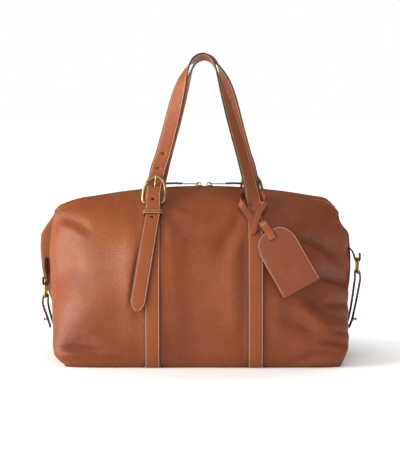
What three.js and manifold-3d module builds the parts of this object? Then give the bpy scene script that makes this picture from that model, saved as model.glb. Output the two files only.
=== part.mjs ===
// A soft leather weekender bag: two big panels and two folded gussets on a flat base, a curved zip
// with two sliders, two strap handles that buckle to the body, cinched ends with brass rings, a tag.
// Millimetres, +Z up, front is -Y. x = 0 is the middle between the straps, z = 0 is the floor.
import * as THREE from 'three';
import { mergeVertices } from 'three/addons/utils/BufferGeometryUtils.js';
import Module from 'manifold-3d';

const wasm = await Module();
wasm.setup();

// ---- driving dimensions -------------------------------------------------------------------------
const BODY_HEIGHT = 283;        // floor to the zip at its middle
const EAR_HEIGHT = 246;         // floor to the zip's two ends
const BODY_HALF_DEPTH = 118;    // middle plane to the fullest part of a panel
const RIDGE_BASE = 100;         // half depth of the ends, low down
const ZIP_HALF_GAP = 8;         // middle plane to the top edge of a panel
const ZIP_ARC_RADIUS = 1000;    // the zip's line, seen from the front, is an arc of this radius
const ZIP_ARC_HALF = 190;       // ... as far as this from the middle
const LEATHER = 3;              // panel with its backing
const GAP = 0.4;                // clearance between neighbouring pieces
const BASE_THICK = 4;
const PANEL_FOOT = 3.4;         // height of a panel's lower edge, above the straps
const STRAP_WIDTH = 25.4;
const STRAP_THICK = 2.6;
const STRAP_OFFSET = 82;        // middle of the bag to the middle of each strap
const HANDLE_TOP = 495;
const WIRE = 1.8;               // radius of buckle and ring wire

// half length of the body at a height, left and right of x = 0: the left end is packed fuller
const LEFT_LENGTH = [[0, 219], [8, 231], [20, 240], [60, 246], [150, 258], [205, 258], [246, 246]];
const RIGHT_LENGTH = [[0, 218], [8, 223], [20, 226], [60, 228], [150, 234], [205, 231], [246, 222]];

// ---- small maths --------------------------------------------------------------------------------
const vec = (x, y, z) => new THREE.Vector3(x, y, z);
const radians = THREE.MathUtils.degToRad;
const mix = THREE.MathUtils.lerp;
const smooth = THREE.MathUtils.smoothstep;

// A smooth curve through [position, value] stations.
function through(stations, at) {
  const last = stations.length - 1;
  const x = Math.min(Math.max(at, stations[0][0]), stations[last][0]);
  let i = 0;
  while (i < last - 1 && x > stations[i + 1][0]) i += 1;
  const slope = (k) => {
    const a = stations[Math.max(k - 1, 0)];
    const b = stations[Math.min(k + 1, last)];
    return (b[1] - a[1]) / (b[0] - a[0]);
  };
  const [x0, y0] = stations[i];
  const [x1, y1] = stations[i + 1];
  const h = x1 - x0;
  const s = (x - x0) / h;
  const bend = y0 * (1 + 2 * s) * (1 - s) ** 2 + y1 * s * s * (3 - 2 * s);
  return bend + h * s * (1 - s) * (slope(i) * (1 - s) - slope(i + 1) * s);
}

// ---- closed meshes ------------------------------------------------------------------------------
function meshFrom(points, faces) {
  const geometry = new THREE.BufferGeometry();
  const flat = points.flatMap((p) => [p.x, p.y, p.z]);
  geometry.setAttribute('position', new THREE.Float32BufferAttribute(flat, 3));
  let volume = 0;
  for (const [a, b, c] of faces) {
    volume += points[a].dot(vec(0, 0, 0).crossVectors(points[b], points[c]));
  }
  const turned = volume < 0 ? faces.map(([a, b, c]) => [a, c, b]) : faces;
  geometry.setIndex(turned.flat());
  return geometry;
}

// A solid between an outer and an inner grid of points, closed all round its edge.
function sheetSolid(outer, inner) {
  const rows = outer.length;
  const columns = outer[0].length;
  const points = [...outer.flat(), ...inner.flat()];
  const faces = [];
  const quad = (a, b, c, d) => faces.push([a, b, c], [a, c, d]);
  const at = (r, c, side) => side * rows * columns + r * columns + c;
  for (let r = 0; r < rows - 1; r += 1) {
    for (let c = 0; c < columns - 1; c += 1) {
      quad(at(r, c, 0), at(r, c + 1, 0), at(r + 1, c + 1, 0), at(r + 1, c, 0));
      quad(at(r, c, 1), at(r + 1, c, 1), at(r + 1, c + 1, 1), at(r, c + 1, 1));
    }
  }
  for (let c = 0; c < columns - 1; c += 1) {
    quad(at(0, c, 0), at(0, c, 1), at(0, c + 1, 1), at(0, c + 1, 0));
    quad(at(rows - 1, c, 0), at(rows - 1, c + 1, 0), at(rows - 1, c + 1, 1), at(rows - 1, c, 1));
  }
  for (let r = 0; r < rows - 1; r += 1) {
    quad(at(r, 0, 0), at(r + 1, 0, 0), at(r + 1, 0, 1), at(r, 0, 1));
    const end = columns - 1;
    quad(at(r, end, 0), at(r, end, 1), at(r + 1, end, 1), at(r + 1, end, 0));
  }
  return meshFrom(points, faces);
}

// A solid through a row of convex sections, closed into a loop or capped at both ends.
function loft(sections, loop = false) {
  const count = sections[0].length;
  const points = sections.flat();
  const faces = [];
  const last = loop ? sections.length : sections.length - 1;
  for (let s = 0; s < last; s += 1) {
    const here = s * count;
    const next = ((s + 1) % sections.length) * count;
    for (let k = 0; k < count; k += 1) {
      const after = (k + 1) % count;
      faces.push([here + k, here + after, next + after], [here + k, next + after, next + k]);
    }
  }
  if (!loop) {
    const end = (sections.length - 1) * count;
    for (let k = 1; k < count - 1; k += 1) {
      faces.push([0, k + 1, k], [end, end + k, end + k + 1]);
    }
  }
  return meshFrom(points, faces);
}

const tangentAt = (path, i, loop = false) => {
  const n = path.length;
  const before = loop ? path[(i + n - 1) % n] : path[Math.max(i - 1, 0)];
  const after = loop ? path[(i + 1) % n] : path[Math.min(i + 1, n - 1)];
  return after.clone().sub(before).normalize();
};

// A flat strap along a path. outward[i] is square to one of the strap's two faces at path[i].
function strap(path, outward, width = STRAP_WIDTH, thick = STRAP_THICK) {
  const last = vec(0, 0, 0);
  const sections = path.map((p, i) => {
    const along = tangentAt(path, i);
    const across = vec(0, 0, 0).crossVectors(along, outward[i]).normalize();
    if (across.dot(last) < 0) across.negate();
    last.copy(across);
    const up = vec(0, 0, 0).crossVectors(across, along).normalize();
    const half = typeof width === 'function' ? width(i / (path.length - 1)) / 2 : width / 2;
    const corner = (a, b) => p.clone().addScaledVector(across, a * half).addScaledVector(up, b * thick / 2);
    return [corner(-1, -1), corner(1, -1), corner(1, 1), corner(-1, 1)];
  });
  return loft(sections);
}

// A round wire along a path that lies near one plane; side is that plane's normal.
function wire(path, side, radius = WIRE, loop = false, facets = 8) {
  const sections = path.map((p, i) => {
    const along = tangentAt(path, i, loop);
    const up = vec(0, 0, 0).crossVectors(side, along).normalize();
    const over = vec(0, 0, 0).crossVectors(along, up).normalize();
    return Array.from({ length: facets }, (_, k) => {
      const angle = (k / facets) * 2 * Math.PI;
      return p.clone()
        .addScaledVector(up, Math.cos(angle) * radius)
        .addScaledVector(over, Math.sin(angle) * radius);
    });
  });
  return loft(sections, loop);
}

// ---- joining and cutting ------------------------------------------------------------------------
function solidOf(geometry) {
  const bare = geometry.clone();
  bare.deleteAttribute('normal');
  bare.deleteAttribute('uv');
  const merged = mergeVertices(bare, 1e-4);
  const vertProperties = new Float32Array(merged.attributes.position.array);
  const triVerts = new Uint32Array(merged.index.array);
  return new wasm.Manifold(new wasm.Mesh({ numProp: 3, vertProperties, triVerts }));
}

function geometryOf(solid) {
  const mesh = solid.getMesh();
  const geometry = new THREE.BufferGeometry();
  geometry.setAttribute('position', new THREE.Float32BufferAttribute(mesh.vertProperties, 3));
  geometry.setIndex([...mesh.triVerts]);
  return geometry;
}

const join = (first, ...others) => geometryOf(
  others.reduce((all, geometry) => all.add(solidOf(geometry)), solidOf(first)));
const cut = (first, ...others) => geometryOf(
  others.reduce((all, geometry) => all.subtract(solidOf(geometry)), solidOf(first)));

function block(from, to) {
  const size = to.clone().sub(from);
  const middle = from.clone().add(to).multiplyScalar(0.5);
  return new THREE.BoxGeometry(size.x, size.y, size.z).translate(middle.x, middle.y, middle.z);
}

// ---- the body's shape ---------------------------------------------------------------------------
const halfLength = (end, t) => through(end < 0 ? LEFT_LENGTH : RIGHT_LENGTH, t * EAR_HEIGHT);

// height of the zip's line at x
function zipHeight(x) {
  const end = halfLength(Math.sign(x) || 1, 1);
  const arc = (d) => ZIP_ARC_RADIUS - Math.sqrt(ZIP_ARC_RADIUS ** 2 - d * d);
  const past = Math.max(0, Math.abs(x) - ZIP_ARC_HALF) / (end - ZIP_ARC_HALF);
  const drop = BODY_HEIGHT - EAR_HEIGHT - arc(end);
  return BODY_HEIGHT - arc(Math.abs(x)) - drop * past * past;
}

const footRounding = (t) => 12 * Math.max(0, 1 - t / 0.08) ** 2;
const crest = (t) => ZIP_HALF_GAP + (BODY_HALF_DEPTH - ZIP_HALF_GAP) * Math.max(0, 1 - t ** 4.2) ** 0.8;
const ridge = (t) => ZIP_HALF_GAP + (RIDGE_BASE - ZIP_HALF_GAP) * (1 - smooth(t, 0.05, 0.66));

// A point of the front (side -1) or back (side 1) panel's outer face.
// u runs from the left ridge (-1) to the right (1), t from the floor (0) to the zip (1).
function panelPoint(side, u, t) {
  const x = u * halfLength(Math.sign(u) || 1, t);
  const roundness = mix(14, 3.2, smooth(t, 0, 0.6));
  const plan = Math.max(0, 1 - Math.abs(u) ** roundness) ** 0.75;
  const depth = ridge(t) + (crest(t) - ridge(t)) * plan - footRounding(t) * mix(0.4, 1, plan);
  return vec(x, side * depth, t * zipHeight(x));
}

function panelNormal(side, u, t) {
  if (Math.abs(u) > 0.9995) return vec(Math.sign(u), 0, 0);
  if (t > 0.9995) return vec(0, 0, 1);
  const d = 0.004;
  const across = panelPoint(side, Math.min(u + d, 1), t).sub(panelPoint(side, Math.max(u - d, -1), t));
  const up = panelPoint(side, u, Math.min(t + d, 1)).sub(panelPoint(side, u, Math.max(t - d, 0)));
  return vec(0, 0, 0).crossVectors(across, up).multiplyScalar(-side).normalize();
}

// the point at x and t, lifted off the panel by lift
function onPanel(side, x, t, lift = 0) {
  const u = x / halfLength(Math.sign(x) || 1, t);
  return panelPoint(side, u, t).addScaledVector(panelNormal(side, u, t), lift);
}

const PANEL_COLUMNS = 24;
const PANEL_ROWS = 15;
const FOOT_T = PANEL_FOOT / BODY_HEIGHT;
const columnsAt = Array.from({ length: PANEL_COLUMNS + 1 }, (_, i) => (
  Math.sin((i / PANEL_COLUMNS - 0.5) * Math.PI)));
const rowsAt = Array.from({ length: PANEL_ROWS + 1 }, (_, i) => {
  const s = i / PANEL_ROWS;
  return mix(FOOT_T, 1, s * mix(1, 2 - s, 0.55));
});

function panel(side) {
  const grid = (lift) => rowsAt.map((t) => columnsAt.map((u) => (
    panelPoint(side, u, t).addScaledVector(panelNormal(side, u, t), lift))));
  return sheetSolid(grid(0), grid(-LEATHER));
}

// the gusset folds inward between the two ridges
const GUSSET_TOP = 0.94;
const foldDepth = (t) => 46 * smooth(t, 0.08, 0.6) * (1 - 0.4 * smooth(t, 0.75, 1));

function gussetPoint(end, s, t, inward) {
  const edge = ridge(t) - footRounding(t) * 0.4 - GAP;
  const x = halfLength(end, t) - foldDepth(t) * (1 - s * s) - inward;
  const top = zipHeight(end * halfLength(end, t));
  return vec(end * x, s * edge, t * top);
}

function gusset(end) {
  const rows = rowsAt.filter((t) => t < GUSSET_TOP);
  const across = Array.from({ length: 13 }, (_, i) => i / 6 - 1);
  const grid = (inward) => rows.map((t) => across.map((s) => gussetPoint(end, s, t, inward)));
  return sheetSolid(grid(0), grid(LEATHER));
}

// outline of the body at t, as a closed run of points pulled in by inset
function outlineAt(t, inset) {
  const front = columnsAt.map((u) => panelPoint(-1, u, t).addScaledVector(panelNormal(-1, u, t), -inset));
  const back = columnsAt.map((u) => panelPoint(1, -u, t).addScaledVector(panelNormal(1, -u, t), -inset));
  return [...front, ...back];
}

function plate(t, inset, low, high) {
  const outline = outlineAt(t, inset).map((p) => new THREE.Vector2(p.x, p.y));
  const shape = new THREE.Shape(outline);
  return new THREE.ExtrudeGeometry(shape, { depth: high - low, bevelEnabled: false }).translate(0, 0, low);
}

// ---- base, lining, board ------------------------------------------------------------------------
// the base plate has a shallow channel for each strap that runs under it
function basePanel() {
  const whole = plate(FOOT_T, LEATHER + GAP, 0, BASE_THICK);
  const half = STRAP_WIDTH / 2 + GAP;
  const channels = [-1, 1].map((end) => block(
    vec(end * STRAP_OFFSET - half, -200, -1), vec(end * STRAP_OFFSET + half, 200, STRAP_THICK + GAP)));
  return cut(whole, ...channels);
}

// the stiff board is a plain rounded rectangle that lies loose inside, on the base
const BOARD_THICK = 2.5;
function baseBoard() {
  const left = -halfLength(-1, FOOT_T) + 22;
  const right = halfLength(1, FOOT_T) - 22;
  const half = RIDGE_BASE - 18;
  const round = 20;
  const shape = new THREE.Shape();
  shape.absarc(right - round, half - round, round, 0, Math.PI / 2);
  shape.absarc(left + round, half - round, round, Math.PI / 2, Math.PI);
  shape.absarc(left + round, round - half, round, Math.PI, Math.PI * 1.5);
  shape.absarc(right - round, round - half, round, Math.PI * 1.5, Math.PI * 2);
  const low = BASE_THICK + GAP;
  return new THREE.ExtrudeGeometry(shape, { depth: BOARD_THICK, bevelEnabled: false, curveSegments: 5 })
    .translate(0, 0, low);
}

const LINING_FLOOR = BASE_THICK + GAP + BOARD_THICK + GAP;

// an open-topped cloth bag that stands just inside the panels and clear of the folded gussets
function lining() {
  const around = 44;
  const rows = [0.03, 0.12, 0.25, 0.4, 0.55, 0.68, 0.8, 0.9];
  const ring = (t, inset) => Array.from({ length: around }, (_, i) => {
    const angle = (i / around) * 2 * Math.PI;
    const round = (v) => Math.sign(v) * Math.abs(v) ** mix(0.3, 0.75, smooth(t, 0, 0.7));
    const end = Math.cos(angle) < 0 ? -1 : 1;
    const reach = halfLength(end, t) - foldDepth(t) - LEATHER - 6 - inset;
    const x = round(Math.cos(angle)) * reach;
    const u = x / halfLength(end, t);
    const wall = Math.abs(panelPoint(1, u, t).y) - LEATHER * 2.2 - inset;
    return vec(x, round(Math.sin(angle)) * wall, Math.max(t * zipHeight(x), LINING_FLOOR + inset));
  });
  const outer = rows.map((t) => ring(t, 0));
  const inner = rows.map((t) => ring(t, 1));
  const rings = [...outer, ...[...inner].reverse()];
  return loft(rings);
}

// ---- zip ----------------------------------------------------------------------------------------
const TEETH_HALF = 2.2;
const TAPE_TOP = 1.0;           // depth of the tape below the zip's line
const zipStations = Array.from({ length: 25 }, (_, i) => Math.sin((i / 24 - 0.5) * Math.PI));

// a flat bar along the zip between two depths, on one side of the middle plane
function zipBar(side, nearY, farY, high, low, margin) {
  const sections = zipStations.map((s) => {
    const x = s * (halfLength(Math.sign(s) || 1, 1) - margin);
    const z = zipHeight(x);
    return [[nearY, high], [farY, high], [farY, low], [nearY, low]].map(([y, d]) => vec(x, side * y, z - d));
  });
  return loft(sections);
}

const zipTape = (side) => zipBar(side, TEETH_HALF + 0.3, ZIP_HALF_GAP - GAP, TAPE_TOP, TAPE_TOP + 1.2, 6);
const zipTeeth = (side) => zipBar(side, 0.15, TEETH_HALF, 0, 2.8, 14);

function zipEndTab(end) {
  const reach = halfLength(end, 1);
  const path = [30, 22, 14, 6, -2].map((back) => {
    const x = end * Math.min(reach - back, reach - 1);
    return vec(end * (reach - back), 0, zipHeight(x) + 1.5);
  });
  return strap(path, path.map(() => vec(0, 0, 1)), 17, 2);
}

// a slider's body rides on the teeth and carries a small bridge for its pull
const SLIDER_HALF = 5.5;
const PULL_AXIS = 4.6;          // height of a pull's axis above the zip's line
function sliderBody() {
  const outline = new THREE.Shape();
  outline.absellipse(0, 0, SLIDER_HALF, 4.6, 0, 2 * Math.PI);
  const deck = new THREE.ExtrudeGeometry(outline, { depth: 2.2, bevelEnabled: false, curveSegments: 8 });
  const bridge = wire([vec(-3.6, 0, 1), vec(-3.4, 0, 4.8), vec(0, 0, 7), vec(3.4, 0, 4.8), vec(3.6, 0, 1)],
    vec(0, 1, 0), 0.8, false, 6);
  return join(deck.translate(0, 0, 0.3), bridge);
}

// a pull: a flat wire eye under the bridge, then a bar with an eye at its far end; lies along +x
const PULL_LENGTH = 24;
function pullBar() {
  const eye = new THREE.TorusGeometry(3.4, 0.8, 6, 14).translate(3.4, 0, PULL_AXIS);
  const bar = block(vec(6.6, -2.4, PULL_AXIS - 0.8), vec(PULL_LENGTH - 4, 2.4, PULL_AXIS + 0.8));
  const ring = new THREE.TorusGeometry(2.8, 0.8, 6, 14).translate(PULL_LENGTH - 1.6, 0, PULL_AXIS);
  return join(eye, bar, ring);
}

// the leather puller: a folded tag through the pull's far eye
const PULLER_LENGTH = 34;
function puller() {
  const start = PULL_LENGTH + 2.4;
  const path = [vec(start, 0, PULL_AXIS + 0.2), vec(start + 10, 0, PULL_AXIS + 0.8),
    vec(start + 22, 0, PULL_AXIS + 0.6), vec(start + PULLER_LENGTH, 0, PULL_AXIS)];
  return strap(path, path.map(() => vec(0, 0, 1)), 9, 2);
}

// ---- straps, buckles, handles -------------------------------------------------------------------
// Everything here is worked out for the front. The back is the same turned half a turn about z:
// buckle on the left of whoever faces it.
const BUCKLE_X = -STRAP_OFFSET;
const BUCKLE_T = 0.915;
const LAY = 1.4 + STRAP_THICK / 2;                 // lift of the first strap layer
const LAYER = STRAP_THICK + 0.3;
const BAR_LIFT = LAY + WIRE + 0.3 + STRAP_THICK / 2;

// straps lie square to x, so their outward direction leaves out the panel's slope along x
function strapNormal(side, x, t) {
  const n = panelNormal(side, x / halfLength(Math.sign(x) || 1, t), t);
  return n.setX(0).normalize();
}
const outwardAt = (x, t) => strapNormal(-1, x, t);
const onStrapLine = (side, x, t, lift) => onPanel(side, x, t).addScaledVector(strapNormal(side, x, t), lift);

const pivot = onStrapLine(-1, BUCKLE_X, BUCKLE_T, BAR_LIFT);
const PIVOT_Y = pivot.y;
const PIVOT_Z = pivot.z;

// the strap up one panel: stations and outward directions from the floor to topT
function climb(side, x, topT, lift) {
  const count = 16;
  const stations = [];
  for (let i = 0; i <= count; i += 1) {
    const t = mix(FOOT_T + 0.012, topT, i / count);
    stations.push([onStrapLine(side, x, t, lift), strapNormal(side, x, t)]);
  }
  return stations;
}

// One body strap: down the front, under the base in its channel, up the back.
// Each end gives topT, how high the strap is sewn, and the extra stations above that.
function bodyStrap(x, frontEnd, backEnd) {
  const front = climb(-1, x, frontEnd.topT, LAY).reverse();
  const back = climb(1, x, backEnd.topT, LAY);
  const foot = (side) => {
    const edge = Math.abs(panelPoint(side, x / halfLength(Math.sign(x), FOOT_T), FOOT_T).y);
    const mid = STRAP_THICK / 2;
    return [
      [vec(x, side * (edge + 0.9), mid + 0.55), vec(0, side * 0.6, -0.8)],
      [vec(x, side * (edge - 1.6), mid), vec(0, 0, -1)],
    ];
  };
  const under = [...foot(-1), ...foot(1).reverse()];
  const stations = [...frontEnd.extra, ...front, ...under, ...back, ...backEnd.extra.slice().reverse()];
  return strap(stations.map((s) => s[0]), stations.map((s) => s[1]));
}

const BAR_WRAP = WIRE + 0.3 + STRAP_THICK / 2;     // bar's middle to the middle of the strap round it
const barUp = onPanel(-1, BUCKLE_X, BUCKLE_T + 0.01)
  .sub(onPanel(-1, BUCKLE_X, BUCKLE_T - 0.01))
  .normalize();
const barOut = vec(0, 0, 0).crossVectors(vec(1, 0, 0), barUp).normalize();
const fromBar = (x, out, up) => vec(x, PIVOT_Y, PIVOT_Z)
  .addScaledVector(barOut, out)
  .addScaledVector(barUp, up);
const FLAP_T = 0.888;
const KEEPER_T = 0.862;
const THROAT_END_T = 0.85;
const TAIL_T = 0.845;

// The strap turns over the buckle's bar and ends as a short flap sewn down in front of itself.
function loopEnd(x) {
  const turns = [];
  for (let i = 0; i <= 8; i += 1) {
    const angle = radians(mix(180, 0, i / 8));
    const away = barOut.clone().multiplyScalar(-Math.cos(angle)).addScaledVector(barUp, Math.sin(angle));
    turns.push([fromBar(x, 0, 0).addScaledVector(away, BAR_WRAP), away]);
  }
  const flap = [[FLAP_T, LAY + LAYER], [0.9, LAY + LAYER + 1.4]].map(([t, lift]) => (
    [onStrapLine(-1, x, t, lift), outwardAt(x, t)]));
  return { topT: 0.892, extra: [...flap, ...turns] };
}

// On the plain side the strap leaves the panel and stands up towards the handle.
function plainEnd(x) {
  const rise = [[PIVOT_Y - 1.6, PIVOT_Z - 3.4, 0.15], [PIVOT_Y - 7.4, PIVOT_Z - 9.6, 0.4]];
  return { topT: 0.858, extra: rise.map(([y, z, lean]) => [vec(x, y, z), vec(0, -1, lean)]) };
}

const halfTurn = ([p, n]) => [vec(-p.x, -p.y, p.z), vec(-n.x, -n.y, n.z)];
const turnedEnd = (end) => ({ topT: end.topT, extra: end.extra.map(halfTurn) });

// a slot in the turned end and in the throat over it, where the prong goes round the bar
function prongSlot(side, radius = 8) {
  const slot = new THREE.CylinderGeometry(radius, radius, 6.6, 16).rotateZ(Math.PI / 2);
  return slot.translate(side * -BUCKLE_X, side * -PIVOT_Y, PIVOT_Z);
}

function leftBodyStrap() {
  const whole = bodyStrap(-STRAP_OFFSET, loopEnd(-STRAP_OFFSET), turnedEnd(plainEnd(STRAP_OFFSET)));
  return cut(whole, prongSlot(-1));
}

function rightBodyStrap() {
  const whole = bodyStrap(STRAP_OFFSET, plainEnd(STRAP_OFFSET), turnedEnd(loopEnd(-STRAP_OFFSET)));
  return cut(whole, prongSlot(1));
}

// The handle's own strap, cut where it bends: the throat lies over the bar and under the keeper.
function throat() {
  const rest = [[0.9, LAY + 2 * LAYER + 1.9], [FLAP_T, LAY + 2 * LAYER + 0.4], [0.877, LAY + LAYER + 0.5],
    [KEEPER_T, LAY + LAYER], [THROAT_END_T, LAY + LAYER]];
  const over = BAR_WRAP + LAYER + 0.1;
  const stations = [
    [vec(BUCKLE_X, PIVOT_Y - 4.9, PIVOT_Z + 8.6), vec(0, -1, 0.1)],
    [fromBar(BUCKLE_X, over, 0), barOut],
    ...rest.map(([t, lift]) => [onStrapLine(-1, BUCKLE_X, t, lift), outwardAt(BUCKLE_X, t)]),
  ];
  return cut(strap(stations.map((s) => s[0]), stations.map((s) => s[1])), prongSlot(-1, 11.5));
}

const TAIL_TIP_T = 0.325;
const TAIL_DRIFT = 25;          // the tail's tip hangs this far to the side of its keeper

function tail() {
  const count = 18;
  const stations = Array.from({ length: count + 1 }, (_, i) => {
    const s = i / count;
    const t = mix(TAIL_T, TAIL_TIP_T, s);
    const x = BUCKLE_X - TAIL_DRIFT * s;
    return [onStrapLine(-1, x, t, LAY + LAYER + 1.6 * smooth(s, 0, 0.3)), outwardAt(x, t)];
  });
  const width = (s) => STRAP_WIDTH * (s < 0.9 ? 1 : mix(1, 0.3, ((s - 0.9) / 0.1) ** 2));
  return strap(stations.map((s) => s[0]), stations.map((s) => s[1]), width);
}

function keeper() {
  const half = STRAP_WIDTH / 2 + 1.5;
  const top = LAY + LAYER + STRAP_THICK / 2 + 1.3;
  const outline = [[-half, 1.2, -1, 0], [-half, top - 1.6, -1, 0.2], [-half + 1.6, top, -0.3, 1],
    [half - 1.6, top, 0.3, 1], [half, top - 1.6, 1, 0.2], [half, 1.2, 1, 0]];
  const out = outwardAt(BUCKLE_X, KEEPER_T);
  const path = outline.map(([x, lift]) => onStrapLine(-1, BUCKLE_X, KEEPER_T, lift).add(vec(x, 0, 0)));
  const away = outline.map(([, , nx, nOut]) => out.clone().multiplyScalar(nOut).add(vec(nx, 0, 0)));
  return strap(path, away, 8, 1.6);
}

// buckle: a horseshoe of wire whose straight side is the bar
const BUCKLE_RISE = 41;
const FRAME_LEAN = radians(4);
const FRAME_SLANT = 0.11;       // sideways, the way the strap pulls it
const inFrame = (x, up, out = 0) => vec(
  BUCKLE_X + x + up * FRAME_SLANT,
  PIVOT_Y + up * Math.sin(FRAME_LEAN) - out * Math.cos(FRAME_LEAN),
  PIVOT_Z + up * Math.cos(FRAME_LEAN) + out * Math.sin(FRAME_LEAN),
);

function buckleFrame() {
  const half = [[13.4, 0], [15.8, 0.8], [17, 4], [17.4, 11], [17.2, 19], [15, 29], [9.4, 37.4],
    [0, BUCKLE_RISE]];
  const right = half.map(([x, up]) => inFrame(x, up));
  const left = half.slice(0, -1).map(([x, up]) => inFrame(-x, up)).reverse();
  return wire([...right, ...left], vec(0, -Math.cos(FRAME_LEAN), Math.sin(FRAME_LEAN)), WIRE, true);
}

const PRONG_WIRE = 1.2;
const PRONG_EYE = WIRE + 0.3 + PRONG_WIRE;
const prongPath = [inFrame(0, PRONG_EYE, 0), inFrame(0, 14, 0.4), inFrame(0, 28, 1.6),
  inFrame(0, BUCKLE_RISE + 2.5, WIRE + PRONG_WIRE + 0.3)];

function prong() {
  const eye = new THREE.TorusGeometry(PRONG_EYE, PRONG_WIRE, 8, 16).rotateY(Math.PI / 2);
  eye.translate(BUCKLE_X, PIVOT_Y, PIVOT_Z);
  return join(eye, wire(prongPath, vec(1, 0, 0), PRONG_WIRE));
}

// Front handle, from just above the buckle over the top to the plain side.
// Each station is x, y, z and how far the strap has turned on itself: 0 faces the front, 90 faces up.
const HANDLE_STATIONS = [
  [-81.5, PIVOT_Y - 3.2, PIVOT_Z + 15.5, 0],
  [-80.8, PIVOT_Y - 1.6, PIVOT_Z + 20.5, 0],
  [-80, PIVOT_Y + 2, PIVOT_Z + 25, 0],
  [-79, PIVOT_Y + 6.2, PIVOT_Z + 30, 0],
  [-76.5, PIVOT_Y + 8.6, PIVOT_Z + BUCKLE_RISE, 2],
  [-73, PIVOT_Y + 11, PIVOT_Z + 56, 4],
  [-66, -39, 337, 8],
  [-55, -33, 378, 14],
  [-46.5, -27, 413, 22],
  [-39, -22.5, 443, 36],
  [-32.5, -19.5, 464, 55],
  [-23, -17, 483, 74],
  [-12, -16, 492.5, 86],
  [0, -15.5, HANDLE_TOP, 90],
  [12, -16, 489, 94],
  [20, -17, 474, 101],
  [27.5, -19.5, 452, 114],
  [37, -23.5, 422, 130],
  [50, -31, 378, 143],
  [62, -39, 337, 148],
  [72.5, -47, 296, 152],
  [77.5, PIVOT_Y + 1.8, PIVOT_Z + 14, 162],
  [80, PIVOT_Y, PIVOT_Z + 1, 174],
];
const TOP_TILT = 0.45;          // the strap's front edge stands higher than its back edge at the top

function handleStrap() {
  const part = (k, at) => through(HANDLE_STATIONS.map((s, i) => [i, s[k]]), at);
  const steps = (HANDLE_STATIONS.length - 1) * 2;
  const path = Array.from({ length: steps + 1 }, (_, i) => (
    vec(part(0, i / 2), part(1, i / 2), part(2, i / 2))));
  const outward = path.map((p, i) => {
    const turn = radians(part(3, i / 2));
    const across = vec(Math.cos(turn), -Math.sin(turn), Math.sin(turn) * TOP_TILT);
    return vec(0, 0, 0).crossVectors(across, tangentAt(path, i)).normalize();
  });
  return { path, outward };
}

const HOLE_PITCH = 23.5;
const HOLE_RADIUS = 2.1;

function handle() {
  const { path, outward } = handleStrap();
  const holes = [1, 2].map((k) => {
    const z = PIVOT_Z + 30 + k * HOLE_PITCH;
    const i = path.findIndex((p) => p.z > z);
    const drill = new THREE.CylinderGeometry(HOLE_RADIUS, HOLE_RADIUS, 12, 10);
    drill.applyQuaternion(new THREE.Quaternion().setFromUnitVectors(vec(0, 1, 0), outward[i]));
    return drill.translate(mix(path[i].x, path[i - 1].x, 0.5), path[i].y, z);
  });
  const prongRoom = wire(prongPath, vec(1, 0, 0), PRONG_WIRE + 0.9);
  return cut(strap(path, outward), prongRoom, ...holes);
}

const frontToBack = (geometry) => geometry.clone().rotateZ(Math.PI);

// ---- ends: tab, ring, cinch strap, stud ---------------------------------------------------------
// ringTop is the height of the ring's upper bar, reach how far it hangs beyond the ridge.
const RING_WIDE = 29;
const RING_HIGH = 23;
const END_STRAP_WIDTH = 20;
const TAB_WRAP = WIRE + 1 + 1.1;
const ENDS = {
  left: { end: -1, ringTop: 124, reach: 6 },
  right: { end: 1, ringTop: 164, reach: 19 },
};
const ringX = ({ end, ringTop, reach }) => end * (halfLength(end, ringTop / EAR_HEIGHT) + reach);

function endRing(where) {
  const x = ringX(where);
  const high = where.ringTop;
  const low = high - RING_HIGH;
  const half = RING_WIDE / 2;
  const corner = 5;
  const outline = [[half - corner, high], [half - 1.4, high - 1.4], [half, high - corner],
    [half, low + corner], [half - 1.4, low + 1.4], [half - corner, low]];
  const mirrored = outline.map(([y, z]) => [-y, z]).reverse();
  return wire([...outline, ...mirrored].map(([y, z]) => vec(x, y, z)), vec(1, 0, 0), WIRE, true);
}

// strap that turns round one bar of the ring; sign is 1 to turn under the top bar, -1 over the lower
function roundBar(x, z, end, sign) {
  return [0, 45, 90, 135, 180].map((degrees) => {
    const angle = radians(degrees);
    const away = vec(-end * Math.cos(angle), 0, -sign * Math.sin(angle));
    return [vec(x, 0, z).addScaledVector(away, TAB_WRAP), away];
  });
}

function endTab(where) {
  const { end, ringTop } = where;
  const x = ringX(where);
  const rootZ = ringTop + 42;
  const rootX = end * (halfLength(end, rootZ / EAR_HEIGHT) + 2.4);
  const inner = [[vec(rootX, 0, rootZ), vec(-end, 0, 0)], [vec(rootX, 0, rootZ - 16), vec(-end, 0, 0)],
    [vec(mix(rootX, x - end * TAB_WRAP, 0.7), 0, ringTop + 13), vec(-end, 0, 0)]];
  const flap = [[vec(x + end * TAB_WRAP, 0, ringTop + 9), vec(end, 0, 0)]];
  const stations = [...inner, ...roundBar(x, ringTop, end, 1), ...flap];
  return strap(stations.map((s) => s[0]), stations.map((s) => s[1]), END_STRAP_WIDTH, 2.2);
}

const STUD_Z = 64;
const END_STRAP_FOOT = 34;

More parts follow.
